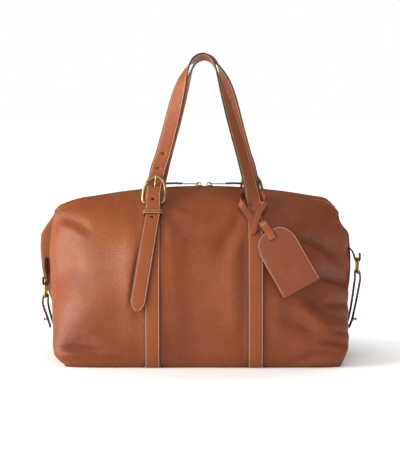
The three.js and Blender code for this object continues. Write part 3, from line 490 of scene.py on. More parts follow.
def bake_modifiers(made):
    """Applies a piece's modifiers, so that it is a plain mesh."""
    bpy.context.view_layer.update()
    evaluated = made.evaluated_get(bpy.context.evaluated_depsgraph_get())
    mesh = bpy.data.meshes.new_from_object(evaluated)
    made.modifiers.clear()
    made.data = mesh
    return made


# the relief attribute carries the fold heights, which the leather turns into painted shade in folds and
# painted light on ridges
shell = make_mesh(
    "body_shell", shell_points.reshape(-1, 3), grid_faces(rows + 1, ring.shape[1], True), BODY_LEATHER,
    {"relief": np.clip(0.5 + shell_relief / 9, 0, 1)})
wall = shell.modifiers.new("wall", "SOLIDIFY")
wall.thickness = 2.4 * MM
wall.offset = -1
bake_modifiers(shell)
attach(shell, "bag")
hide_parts("front_panel", "back_panel", "left_gusset", "right_gusset")

BASE_LEATHER = leather("base leather", (0.095, 0.026, 0.009), (0.155, 0.044, 0.014), (0.210, 0.066, 0.024),
                       520.0, 0.7, 0.55)
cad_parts["base_panel"].data.materials.clear()
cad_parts["base_panel"].data.materials.append(BASE_LEATHER)

# ---- sewing thread ------------------------------------------------------------------------------
# Twisted waxed thread in a pale tan. Each stitch is a short rounded length sunk a little into the
# leather, repeated along its seam by Geometry Nodes.
THREAD, thread_tree, thread_shader, thread_place = new_material("sewing thread")


def two_tones(tree, shader, pattern, low, high, spread=(0.0, 1.0)):
    """Colours a shader between two tones by a pattern socket."""
    ramp = node(tree, "ShaderNodeValToRGB", {"Fac": pattern})
    for stop, tone, place in zip(ramp.color_ramp.elements, (low, high), spread):
        stop.color = (*tone, 1)
        stop.position = place
    tree.links.new(ramp.outputs["Color"], shader.inputs["Base Color"])


twist = node(thread_tree, "ShaderNodeTexWave", {"Vector": thread_place, "Scale": 900.0, "Distortion": 1.0},
             bands_direction="DIAGONAL")
wax = node(thread_tree, "ShaderNodeTexNoise", {"Vector": thread_place, "Scale": 120.0})
two_tones(thread_tree, thread_shader, wax.outputs["Fac"], (0.66, 0.42, 0.27), (0.90, 0.68, 0.50))
raise_by(thread_tree, thread_shader, twist.outputs["Fac"], 0.4, 0.0001)
thread_shader.inputs["Roughness"].default_value = 0.62


def geometry_tree(name, inputs):
    """An empty Geometry Nodes tree with these inputs, and its two end nodes."""
    tree = bpy.data.node_groups.new(name, "GeometryNodeTree")
    tree.interface.new_socket("Geometry", in_out="INPUT", socket_type="NodeSocketGeometry")
    for label, kind in inputs:
        tree.interface.new_socket(label, in_out="INPUT", socket_type=kind)
    tree.interface.new_socket("Geometry", in_out="OUTPUT", socket_type="NodeSocketGeometry")
    return tree, tree.nodes.new("NodeGroupInput"), tree.nodes.new("NodeGroupOutput")


def along_seam(name, build_unit):
    """A tree that repeats one small mesh along every seam line at an even pitch."""
    tree, ins, outs = geometry_tree(name, [
        ("Pitch", "NodeSocketFloat"), ("Size", "NodeSocketVector"), ("Material", "NodeSocketMaterial")])
    line_curve = node(tree, "GeometryNodeMeshToCurve", {"Mesh": ins.outputs["Geometry"]})
    even = node(tree, "GeometryNodeResampleCurve", {"Curve": line_curve.outputs[0]})
    even.mode = "LENGTH"
    tree.links.new(ins.outputs["Pitch"], even.inputs["Length"])
    spots = node(tree, "GeometryNodeCurveToPoints", {"Curve": even.outputs[0]}, mode="EVALUATED")
    turned = node(tree, "FunctionNodeAlignRotationToVector", {"Vector": spots.outputs["Tangent"]}, axis="X")
    placed = node(tree, "GeometryNodeInstanceOnPoints", {
        "Points": spots.outputs["Points"], "Instance": build_unit(tree),
        "Rotation": turned.outputs[0], "Scale": ins.outputs["Size"]})
    solid = node(tree, "GeometryNodeRealizeInstances", {"Geometry": placed.outputs[0]})
    painted = node(tree, "GeometryNodeSetMaterial", {
        "Geometry": solid.outputs[0], "Material": ins.outputs["Material"]})
    tree.links.new(painted.outputs[0], outs.inputs["Geometry"])
    return tree


def thread_length(tree):
    ball = node(tree, "GeometryNodeMeshUVSphere", {"Segments": 6, "Rings": 5, "Radius": 0.5})
    soft = node(tree, "GeometryNodeSetShadeSmooth", {"Geometry": ball.outputs["Mesh"]})
    return soft.outputs[0]


STITCH_TREE = along_seam("stitches along a seam", thread_length)


def repeat_along(name, lines, tree, pitch, size, material):
    """Runs a repeat tree over seam lines given in millimetres, and returns the plain mesh piece."""
    points, edges = [], []
    for one in lines:
        base = len(points)
        points.extend((np.asarray(one, float) * MM).tolist())
        edges.extend((base + k, base + k + 1) for k in range(len(one) - 1))
    mesh = bpy.data.meshes.new(name)
    mesh.from_pydata(points, edges, [])
    made = bpy.data.objects.new(name, mesh)
    bpy.context.scene.collection.objects.link(made)
    repeat = made.modifiers.new("repeat", "NODES")
    repeat.node_group = tree
    sockets = {s.name: s.identifier for s in tree.interface.items_tree if s.in_out == "INPUT"}
    repeat[sockets["Pitch"]] = pitch * MM
    repeat[sockets["Size"]] = [v * MM for v in size]
    repeat[sockets["Material"]] = material
    return bake_modifiers(made)


def stitches(name, lines, pitch=3.1, size=(2.15, 0.95, 0.72)):
    return repeat_along(name, lines, STITCH_TREE, pitch, size, THREAD)


# ---- straps -------------------------------------------------------------------------------------
# Inch-wide straps, two layers glued and sewn along both edges, with dark painted edges. One strap
# runs from the front buckle over the handle, down the front, under the base and up to the back
# buckle's bar. The other is the same turned half a turn about the bag's middle.
STRAP_WIDTH, STRAP_THICK = 25.4, 2.6
LAY = 1.4 + STRAP_THICK / 2
LAYER = STRAP_THICK + 0.3
WIRE = 1.8
BUCKLE_X, BUCKLE_T = -82.0, 0.915
BAR_WRAP = WIRE + 0.3 + STRAP_THICK / 2
BAR_LIFT = LAY + BAR_WRAP
STRAP_LEATHER = leather("strap leather", (0.158, 0.035, 0.006), (0.236, 0.056, 0.010), (0.300, 0.080, 0.017),
                        850.0, 0.44, 0.42, painted=True)
# Painted shade: the walls of the punched holes are near black, for the dark inside of each hole.
HOLE_SHADE, hole_tree, hole_shader, hole_place = new_material("punched hole shade")
fibre = node(hole_tree, "ShaderNodeTexNoise", {"Vector": hole_place, "Scale": 900.0})
two_tones(hole_tree, hole_shader, fibre.outputs["Fac"], (0.008, 0.005, 0.004), (0.03, 0.015, 0.01))
hole_shader.inputs["Roughness"].default_value = 0.8


def strap_normal(side, x, t):
    return unit(panel_normal(side, x / half_length(x, t), t) * np.array([0.0, 1.0, 1.0]))


def on_panel(side, x, t, lift=0.0):
    """A station on the panel at x and t, raised by lift: its place and its outward direction."""
    x, t = float(x), float(t)
    outward_here = strap_normal(side, x, t)
    return panel_point(side, x / half_length(x, t), t) + outward_here * lift, outward_here


def run_of(stations, step=1.6):
    """A smooth run through stations: places, tangents, outward and across directions at each step."""
    places = np.array([s[0] for s in stations], float)
    faces = np.array([s[1] for s in stations], float)
    lengths = np.concatenate([[0], np.cumsum(np.linalg.norm(np.diff(places, axis=0), axis=1))])
    count = max(int(lengths[-1] / step), 8) + 1
    at = np.linspace(0, lengths[-1], count)
    place = np.stack([through(np.stack([lengths, places[:, k]], 1), at) for k in range(3)], 1)
    face = unit(np.stack([np.interp(at, lengths, faces[:, k]) for k in range(3)], 1))
    tangent = unit(np.gradient(place, axis=0))
    across = unit(np.cross(tangent, face))
    for k in range(1, count):
        if across[k] @ across[k - 1] < 0:
            across[k] = -across[k]
    up = unit(np.cross(across, tangent))
    return {"at": at, "place": place, "tangent": tangent, "up": up, "across": across}


def strap_section(half, thick, seam):
    """Half outline of a strap's section from the middle of its back round to the middle of its face."""
    back, face = -thick / 2, thick / 2
    paint = min(1.7, half * 0.14)
    points = [(0, back, 0), (half - 3 * paint, back, 0), (half - paint, back, 0),
              (half - paint * 0.4, back + 0.12, 1), (half, back + 0.6, 1),
              (half, face - 0.6, 1), (half - paint * 0.35, face - 0.12, 1), (half - paint, face, 0)]
    if seam:
        points += [(half - (paint + seam) / 2, face + 0.10, 0), (half - seam, face - 0.22, 0),
                   (half - seam * 1.35, face + 0.12, 0)]
    return points + [(half * 0.5, face + 0.22, 0), (0, face + 0.28, 0)]


def strap_piece(name, run, material, width=STRAP_WIDTH, thick=STRAP_THICK, seam=2.6, taper=None):
    """A flat strap along a run. taper gives its share of the full width at each share of its length."""
    share = run["at"] / run["at"][-1]
    sections, edges = [], []
    for k, part in enumerate(share):
        half = width / 2 * (taper(part) if taper else 1.0)
        half_outline = strap_section(half, thick, min(seam, half * 0.35))
        outline = half_outline + [(-a, b, e) for a, b, e in half_outline[-2:0:-1]]
        sections.append([run["place"][k] + run["across"][k] * a + run["up"][k] * b for a, b, _ in outline])
        edges.append([e for _, _, e in outline])
    points = np.array(sections)
    n, m = points.shape[:2]
    faces = grid_faces(n, m, True)
    faces += [((c + 1) % m, c, n * m) for c in range(m)]
    faces += [((n - 1) * m + c, (n - 1) * m + (c + 1) % m, n * m + 1) for c in range(m)]
    points = np.vstack([points.reshape(-1, 3), points[[0, -1]].mean(1)])
    made = make_mesh(name, points, faces, material,
                     {"edge": np.append(np.array(edges), [1.0, 1.0]), "relief": np.full(len(points), 0.5)})
    return outward_faces(made)


def outward_faces(made):
    """Turns every face of a closed piece outwards."""
    work = bmesh.new()
    work.from_mesh(made.data)
    bmesh.ops.recalc_face_normals(work, faces=work.faces)
    work.to_mesh(made.data)
    work.free()
    return made


def seam_lines(run, width=STRAP_WIDTH, thick=STRAP_THICK, seam=2.6, both=False, start=0.0, stop=1.0,
               taper=None):
    """The stitching lines of a strap, near both edges, on its face or on both faces."""
    share = run["at"] / run["at"][-1]
    keep = (share >= start) & (share <= stop)
    half = np.array([width / 2 * (taper(s) if taper else 1.0) for s in share])
    lines = []
    for level in ([1, -1] if both else [1]):
        for edge in (-1, 1):
            reach = np.maximum(half - seam, 0.0)
            height = level * (thick / 2 + (0.0 if level > 0 else 0.1))
            line_points = run["place"] + run["across"] * (edge * reach)[:, None] + run["up"] * height
            lines.append(line_points[keep])
    return lines


pivot = on_panel(-1, BUCKLE_X, BUCKLE_T, BAR_LIFT)[0]
PIVOT_Y, PIVOT_Z = float(pivot[1]), float(pivot[2])
bar_up = unit(on_panel(-1, BUCKLE_X, BUCKLE_T + 0.01)[0] - on_panel(-1, BUCKLE_X, BUCKLE_T - 0.01)[0])
bar_out = unit(np.cross([1.0, 0, 0], bar_up))


def from_bar(x, out, up):
    return np.array([x, PIVOT_Y, PIVOT_Z]) + bar_out * out + bar_up * up


def loop_end(x):
    """The strap's end at a buckle, from its sewn flap over the bar and down to the panel."""
    stations = [on_panel(-1, x, 0.876, LAY + LAYER - 0.1), on_panel(-1, x, 0.888, LAY + LAYER),
                on_panel(-1, x, 0.9, LAY + LAYER + 1.4)]
    for k in range(9):
        angle = math.radians(180 - 22.5 * k)
        away = -bar_out * math.cos(angle) + bar_up * math.sin(angle)
        stations.append((from_bar(x, 0, 0) + away * BAR_WRAP, away))
    return stations


def half_turn(station):
    return tuple(np.asarray(v) * np.array([-1, -1, 1]) for v in station)


def climb(side, x, top_t):
    return [on_panel(side, x, t, LAY) for t in np.linspace(FOOT_T + 0.012, top_t, 56)]


def under_base(x):
    """The strap's turn under the bag from front to back."""
    edge = abs(panel_point(-1, x / half_length(x, FOOT_T), FOOT_T)[1])
    mid = STRAP_THICK / 2
    down = np.array([0, 0, -1.0])
    corners = [[(np.array([x, side * (edge + 0.9), mid + 0.55]), np.array([0, side * 0.6, -0.8])),
                (np.array([x, side * (edge - 1.6), mid]), down)] for side in (-1, 1)]
    flat = [(np.array([x, y, mid]), down) for y in np.linspace(-edge + 12, edge - 12, 5)]
    return corners[0] + flat + corners[1][::-1]


TOP_TILT = 0.45
HANDLE_STATIONS = [
    (-81.5, PIVOT_Y - 3.2, PIVOT_Z + 15.5, 0), (-80.8, PIVOT_Y - 1.6, PIVOT_Z + 20.5, 0),
    (-80, PIVOT_Y + 2, PIVOT_Z + 25, 0), (-79, PIVOT_Y + 6.2, PIVOT_Z + 30, 0),
    (-76.5, PIVOT_Y + 8.6, PIVOT_Z + 41, 2), (-73, PIVOT_Y + 11, PIVOT_Z + 56, 4),
    (-66, -39, 337, 8), (-55, -33, 378, 14), (-46.5, -27, 413, 22), (-39, -22.5, 443, 36),
    (-32.5, -19.5, 464, 55), (-23, -17, 483, 74), (-12, -16, 492.5, 86), (0, -15.5, 495, 90),
    (12, -16, 489, 94), (20, -17, 474, 101), (27.5, -19.5, 452, 114), (37, -23.5, 422, 130),
    (50, -31, 378, 143), (62, -39, 337, 148), (72.5, -47, 296, 152),
    (77.5, PIVOT_Y + 1.8, PIVOT_Z + 14, 162), (80, PIVOT_Y, PIVOT_Z + 1, 174),
]


def handle_run():
    """The arch of the front handle as stations, twisting so that its face turns up at the top."""
    table = np.array(HANDLE_STATIONS)
    at = np.linspace(0, len(table) - 1, (len(table) - 1) * 4 + 1)
    place = np.stack([through(np.stack([np.arange(len(table)), table[:, k]], 1), at) for k in range(3)], 1)
    turn = np.radians(through(np.stack([np.arange(len(table)), table[:, 3]], 1), at))
    across = np.stack([np.cos(turn), -np.sin(turn), np.sin(turn) * TOP_TILT], 1)
    face = unit(np.cross(across, unit(np.gradient(place, axis=0))))
    return list(zip(place, face))


throat = [on_panel(-1, BUCKLE_X, t, lift) for t, lift in (
    (0.852, LAY + LAYER), (0.862, LAY + LAYER), (0.877, LAY + LAYER + 0.5),
    (0.888, LAY + 2 * LAYER + 0.4), (0.9, LAY + 2 * LAYER + 1.9))]
throat += [(from_bar(BUCKLE_X, BAR_WRAP + LAYER + 0.1, 0), bar_out),
           (np.array([BUCKLE_X, PIVOT_Y - 4.9, PIVOT_Z + 8.6]), np.array([0, -1, 0.1]))]
plain_end = [(np.array([81.4, PIVOT_Y - 1.6, PIVOT_Z - 3.4]), np.array([0, -1, 0.15])),
             (np.array([82.0, PIVOT_Y - 7.4, PIVOT_Z - 9.6]), np.array([0, -1, 0.4]))]
down_the_front = climb(-1, STRAP_OFFSET, 0.858)[::-1]
up_the_back = climb(1, STRAP_OFFSET, 0.892) + [half_turn(s) for s in loop_end(-STRAP_OFFSET)][::-1]
strap_stations = throat + handle_run() + plain_end + down_the_front + under_base(STRAP_OFFSET) + up_the_back


def half_turned(run):
    """The same run on the other side of the bag."""
    return {key: value * np.array([-1, -1, 1]) if value.ndim == 2 else value for key, value in run.items()}


def punch(made, holes):
    """Cuts round holes given as (middle, direction, depth, radius) in millimetres."""
    cutter_mesh = bpy.data.meshes.new("punch")
    work = bmesh.new()
    for middle, direction, depth, radius in holes:
        turn = Vector(direction).to_track_quat("Z", "Y").to_matrix().to_4x4()
        turn.translation = Vector(middle) * MM
        bmesh.ops.create_cone(work, cap_ends=True, segments=18, radius1=radius * MM, radius2=radius * MM,
                              depth=depth * MM, matrix=turn)
    work.to_mesh(cutter_mesh)
    work.free()
    # the hole walls take the near-black painted shade
    cutter_mesh.materials.append(HOLE_SHADE)
    cutter = bpy.data.objects.new("punch", cutter_mesh)
    bpy.context.scene.collection.objects.link(cutter)
    made.data.materials.append(HOLE_SHADE)
    cut = made.modifiers.new("cut", "BOOLEAN")
    cut.operation = "DIFFERENCE"
    cut.object = cutter
    cut.solver = "EXACT"
    cut.material_mode = "TRANSFER"
    bake_modifiers(made)
    bpy.data.objects.remove(cutter)
    return made


def nearest(run, z, x_low):
    """The first place on a run that stands over height z."""
    k = int(np.argmax((run["place"][:, 2] > z) & (run["place"][:, 0] < x_low)))
    return run["place"][k], run["up"][k]


front_run = run_of(strap_stations)
hole_spots = []
for height in (PIVOT_Z + 53.5, PIVOT_Z + 77.0):
    place, face = nearest(front_run, height, -20)
    hole_spots.append((place, face, 12.0, 2.1))
place, face = nearest(front_run, PIVOT_Z + 23.5, -20)
hole_spots.append((place, face, 9.0, 2.3))
blind_place, blind_face = nearest(front_run, PIVOT_Z + 5.5, -20)
hole_spots.append((blind_place + blind_face * 1.3, blind_face, 2.6, 2.0))
HINGE_LOW = np.array([0, PIVOT_Y + 2.2, PIVOT_Z - 4.1])
HINGE_HIGH = np.array([0, PIVOT_Y + 0.2, PIVOT_Z + 10.9])
SEWN_BOTH_FACES = 620
straps = {
    "front": (front_run, 1, "right_body_strap"),
    "back": (half_turned(front_run), -1, "left_body_strap"),
}
for where, (run, turn, body_strap) in straps.items():
    spun = np.array([turn, turn, 1])
    strap_made = strap_piece(f"{where}_handle_and_strap", run, STRAP_LEATHER)
    punch(strap_made, [(p * spun, f * spun, d, r) for p, f, d, r in hole_spots])
    handle_stop = SEWN_BOTH_FACES / run["at"][-1]
    sewn = seam_lines(run, both=True, start=0.004, stop=handle_stop)
    sewn += seam_lines(run, start=handle_stop, stop=0.985)
    thread_made = stitches(f"{where}_strap_stitches", sewn)
    low, high = HINGE_LOW * spun * MM, HINGE_HIGH * spun * MM
    for piece in (strap_made, thread_made):
        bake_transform(piece)
    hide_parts(f"{where}_handle", f"{where}_handle_throat", body_strap)

# ---- strap tails and keepers --------------------------------------------------------------------
# Past its buckle each handle's strap goes under a sewn keeper and hangs loose to a rounded point.
# Tail and keeper are cut from the strap leather, with a line of stitches near each edge.
tail_stations = [on_panel(-1, BUCKLE_X, 0.868, LAY + LAYER)]
TAIL_TIP_T = 0.325
for s in np.linspace(0, 1, 30):
    lift = LAY + LAYER + 1.6 * float(smooth(s, 0, 0.3))
    tail_stations.append(on_panel(-1, BUCKLE_X - TAIL_DRIFT * s, mix(0.856, TAIL_TIP_T, s), lift))
tail_run = run_of(tail_stations, 1.2)


def tail_taper(share):
    """The tail's rounded point, over its last 20 mm."""
    from_tip = (1 - share) * tail_run["at"][-1]
    q = max(0.0, 1 - from_tip / 20)
    return max(0.06, (1 - q ** 2.3) ** 0.85)


KEEPER_T = 0.862
KEEPER_CUT = {"width": 8.4, "thick": 1.7, "seam": 1.7}


def keeper_stations():
    """The keeper's loop, up one side of the strap, across its face and down the other side."""
    half, top = STRAP_WIDTH / 2 + 1.5, LAY + LAYER + STRAP_THICK / 2 + 1.3
    outline = [(-half, 1.2, -1, 0), (-half, top - 1.6, -1, 0.2), (-half + 1.6, top, -0.3, 1),
               (0, top + 0.3, 0, 1), (half - 1.6, top, 0.3, 1), (half, top - 1.6, 1, 0.2), (half, 1.2, 1, 0)]
    out = strap_normal(-1, BUCKLE_X, KEEPER_T)
    return [(on_panel(-1, BUCKLE_X, KEEPER_T, lift)[0] + np.array([x, 0, 0]),
             unit(out * n_out + np.array([nx, 0, 0]))) for x, lift, nx, n_out in outline]


keeper_run = run_of(keeper_stations(), 0.7)
hole_at = int(12 / 1.2)
hole_place, hole_face = tail_run["place"][hole_at], tail_run["up"][hole_at]
for where, turn in (("front", 1), ("back", -1)):
    spun = np.array([turn, turn, 1])
    run = tail_run if turn > 0 else half_turned(tail_run)
    tail_made = strap_piece(f"{where}_tail", run, STRAP_LEATHER, taper=tail_taper)
    punch(tail_made, [((hole_place + hole_face * 1.3) * spun, hole_face * spun, 2.4, 2.0)])
    tail_thread = stitches(f"{where}_tail_stitches", seam_lines(run, both=True, taper=tail_taper, stop=0.985))
    for piece in (tail_made, tail_thread):
        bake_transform(piece)
    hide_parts(f"{where}_handle_tail")
    loop = keeper_run if turn > 0 else half_turned(keeper_run)
    keeper_made = strap_piece(f"{where}_keeper_loop", loop, STRAP_LEATHER, **KEEPER_CUT)
    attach(keeper_made, "bag")
    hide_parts(f"{where}_keeper")
    keeper_thread = stitches(f"{where}_keeper_stitches", seam_lines(loop, **KEEPER_CUT),
                             pitch=2.4, size=(1.8, 0.7, 0.6))
    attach(keeper_thread, "bag")

# ---- brass --------------------------------------------------------------------------------------
# Cast and wire fittings in antique brass: bright where rubbed, brown in the hollows. A bar is
# round or oval in section, and closes on itself or is capped at both ends.
BRASS, brass_tree, brass_shader, brass_place = new_material("antique brass")
patina = node(brass_tree, "ShaderNodeTexNoise", {
    "Vector": brass_place, "Scale": 240.0, "Detail": 5.0, "Roughness": 0.65})
two_tones(brass_tree, brass_shader, patina.outputs["Fac"], (0.17, 0.115, 0.040), (0.48, 0.350, 0.145),
          spread=(0.32, 0.62))
brass_rough = node(brass_tree, "ShaderNodeMapRange", {
    "Value": patina.outputs["Fac"], "From Min": 0.3, "From Max": 0.7, "To Min": 0.42, "To Max": 0.26})
brass_tree.links.new(brass_rough.outputs[0], brass_shader.inputs["Roughness"])
raise_by(brass_tree, brass_shader, patina.outputs["Fac"], 0.15, 0.0002)
brass_shader.inputs["Metallic"].default_value = 1.0


def tube(name, path, radii, side, loop=False, material=BRASS, facets=14):
    """A round or oval bar along a path near one plane. side is the plane's normal, radii in and across it."""
    path = np.asarray(path, float)
    ahead = np.roll(path, -1, 0) if loop else np.vstack([path[1:], path[-1:]])
    behind = np.roll(path, 1, 0) if loop else np.vstack([path[:1], path[:-1]])
    along = unit(ahead - behind)
    inward = unit(np.cross(side, along))
    over = unit(np.cross(along, inward))
    angle = np.linspace(0, 2 * math.pi, facets, endpoint=False)
    points = path[:, None] + inward[:, None] * (np.cos(angle) * radii[0])[None, :, None] \
        + over[:, None] * (np.sin(angle) * radii[1])[None, :, None]
    n = len(path)
    faces = grid_faces(n, facets, True)
    flat = points.reshape(-1, 3)
    last = (n - 1) * facets
    if loop:
        faces += [(last + c, last + (c + 1) % facets, (c + 1) % facets, c) for c in range(facets)]
    else:
        dome = min(radii) * 0.5
        flat = np.vstack([flat, path[0] - along[0] * dome, path[-1] + along[-1] * dome])
        faces += [((c + 1) % facets, c, n * facets) for c in range(facets)]
        faces += [(last + c, last + (c + 1) % facets, n * facets + 1) for c in range(facets)]
    return outward_faces(make_mesh(name, flat, faces, material))


def closed_curve(points, count):
    """A smooth closed curve through points."""
    points = np.asarray(points, float)
    wrapped = np.vstack([points[-2:], points, points[:3]])
    steps = np.concatenate([[0], np.cumsum(np.linalg.norm(np.diff(wrapped, axis=0), axis=1))])
    at = np.linspace(steps[2], steps[len(points) + 2], count, endpoint=False)
    return np.stack([through(np.stack([steps, wrapped[:, k]], 1), at) for k in range(3)], 1)


def open_curve(points, count):
    points = np.asarray(points, float)
    steps = np.concatenate([[0], np.cumsum(np.linalg.norm(np.diff(points, axis=0), axis=1))])
    at = np.linspace(0, steps[-1], count)
    return np.stack([through(np.stack([steps, points[:, k]], 1), at) for k in range(3)], 1)


def weld(name, pieces):
    """Joins pieces into one object."""
    bpy.ops.object.select_all(action="DESELECT")
    for piece in pieces:
        piece.select_set(True)
    bpy.context.view_layer.objects.active = pieces[0]
    bpy.ops.object.join()
    pieces[0].name = name
    pieces[0].data.name = name
    return pieces[0]


# ---- buckles ------------------------------------------------------------------------------------
# A cast horseshoe whose straight side is the bar, and a wire prong that turns on the bar. Its
# eye goes round the bar, and its tip lies across the arch.
FRAME_LEAN, FRAME_SLANT, BUCKLE_RISE = math.radians(4), 0.11, 41.0


def in_frame(x, up, out=0.0):
    return np.array([BUCKLE_X + x + up * FRAME_SLANT,
                     PIVOT_Y + up * math.sin(FRAME_LEAN) - out * math.cos(FRAME_LEAN),
                     PIVOT_Z + up * math.cos(FRAME_LEAN) + out * math.sin(FRAME_LEAN)])


half_frame = [(13.4, 0), (15.8, 0.8), (17, 4), (17.4, 11), (17.2, 19), (15, 29), (9.4, 37.4)]
frame_path = [in_frame(x, up) for x, up in half_frame] + [in_frame(0, BUCKLE_RISE)]
frame_path += [in_frame(-x, up) for x, up in half_frame[::-1]]
frame_side = np.array([0, -math.cos(FRAME_LEAN), math.sin(FRAME_LEAN)])
PRONG_WIRE = 1.2
PRONG_EYE = WIRE + 0.3 + PRONG_WIRE
prong_path = [in_frame(0, PRONG_EYE), in_frame(0, 14, 0.4), in_frame(0, 28, 1.6),
              in_frame(0, BUCKLE_RISE + 2.5, WIRE + PRONG_WIRE + 0.3)]
eye_angle = np.linspace(0, 2 * math.pi, 28, endpoint=False)
prong_eye = np.stack([np.full(28, BUCKLE_X), PIVOT_Y + np.cos(eye_angle) * PRONG_EYE,
                      PIVOT_Z + np.sin(eye_angle) * PRONG_EYE], 1)
for where, turn in (("front", 1), ("back", -1)):
    spun = np.array([turn, turn, 1])
    buckle = tube(f"{where}_buckle", closed_curve(frame_path, 96) * spun, (2.4, 1.9), frame_side * spun,
                  loop=True)
    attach(buckle, f"{where}_handle")
    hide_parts(f"{where}_buckle_frame")
    bar_way, prong_wire = np.array([turn, 0.0, 0]), (PRONG_WIRE, PRONG_WIRE)
    eye = tube("eye", prong_eye * spun, prong_wire, bar_way, loop=True)
    shank = tube("shank", open_curve(prong_path, 24) * spun, prong_wire, bar_way)
    prong = weld(f"{where}_prong_wire", [shank, eye])
    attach(prong, f"{where}_prong")
    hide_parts(f"{where}_buckle_prong")

# ---- zip ----------------------------------------------------------------------------------------
# A two-way metal zip on dark woven tape, sewn under the turned top edges, with a leather tab over
# each end. Its two sliders meet in the middle, and each pull carries a stitched leather puller.
TAPE, tape_tree, tape_shader, tape_place = new_material("zip tape")
ribs = node(tape_tree, "ShaderNodeTexWave", {"Vector": tape_place, "Scale": 420.0, "Distortion": 0.4},
            bands_direction="X")
cross_ribs = node(tape_tree, "ShaderNodeTexWave", {"Vector": tape_place, "Scale": 520.0, "Distortion": 0.4},
                  bands_direction="Y")
weave = node(tape_tree, "ShaderNodeMath", {0: ribs.outputs["Fac"], 1: cross_ribs.outputs["Fac"]},
             operation="MULTIPLY")
two_tones(tape_tree, tape_shader, weave.outputs[0], (0.018, 0.009, 0.006), (0.075, 0.036, 0.022))
raise_by(tape_tree, tape_shader, weave.outputs[0], 0.5, 0.0002)
tape_shader.inputs["Roughness"].default_value = 0.85
for side_name in ("front", "back"):
    tape_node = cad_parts[f"zip_tape_{side_name}"]
    tape_node.data.materials.clear()
    tape_node.data.materials.append(TAPE)


def tooth(tree):
    foot = node(tree, "GeometryNodeMeshCube", {"Size": (0.55, 0.62, 1.0)})
    head = node(tree, "GeometryNodeMeshCube", {"Size": (0.42, 0.9, 0.72)})
    both = node(tree, "GeometryNodeJoinGeometry")
    tree.links.new(foot.outputs["Mesh"], both.inputs[0])
    tree.links.new(head.outputs["Mesh"], both.inputs[0])
    return both.outputs[0]


TOOTH_TREE = along_seam("zip teeth along the tape", tooth)
for side_name, side in (("front", -1), ("back", 1)):
    shift = 0.0 if side < 0 else 1.35
    x = np.linspace(-half_length(-1, 1) + 15 + shift, half_length(1, 1) - 15 + shift, 200)
    row = np.stack([x, np.full_like(x, side * 1.25), zip_height(x) - 1.3], 1)
    teeth = repeat_along(f"{side_name}_teeth", [row], TOOTH_TREE, 2.7, (2.6, 2.6, 2.7), BRASS)
    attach(teeth, "bag")
    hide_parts(f"zip_teeth_{side_name}")

rim_u, rim_t = np.linspace(-0.96, 0.96, 240), 0.988
rim_lines = [panel_point(side, rim_u, rim_t) + panel_normal(side, rim_u, rim_t) * 0.15 for side in (-1, 1)]
rim_thread = stitches("zip_rim_stitches", rim_lines, size=(2.3, 0.7, 0.6))
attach(rim_thread, "bag")

SLIDER_REST, PULL_AXIS, PULL_LENGTH, PULLER_LENGTH = 8.5, 4.6, 24.0, 34.0
RING_ANGLE = np.linspace(0, 2 * math.pi, 32, endpoint=False)


def flat_ring(x, r):
    """A ring of points that lies flat at the pull's level."""
    return np.stack([x + np.cos(RING_ANGLE) * r, np.sin(RING_ANGLE) * r, np.full(32, PULL_AXIS)], 1)


def round_end(share):
    """The puller widens from its pull and ends in a round tip."""
    tip = (1 - max(0.0, (share - 0.88) / 0.12) ** 2.4) ** 0.5
    return max(0.25, min(1.0, tip)) * min(1.0, 0.7 + share * 3)


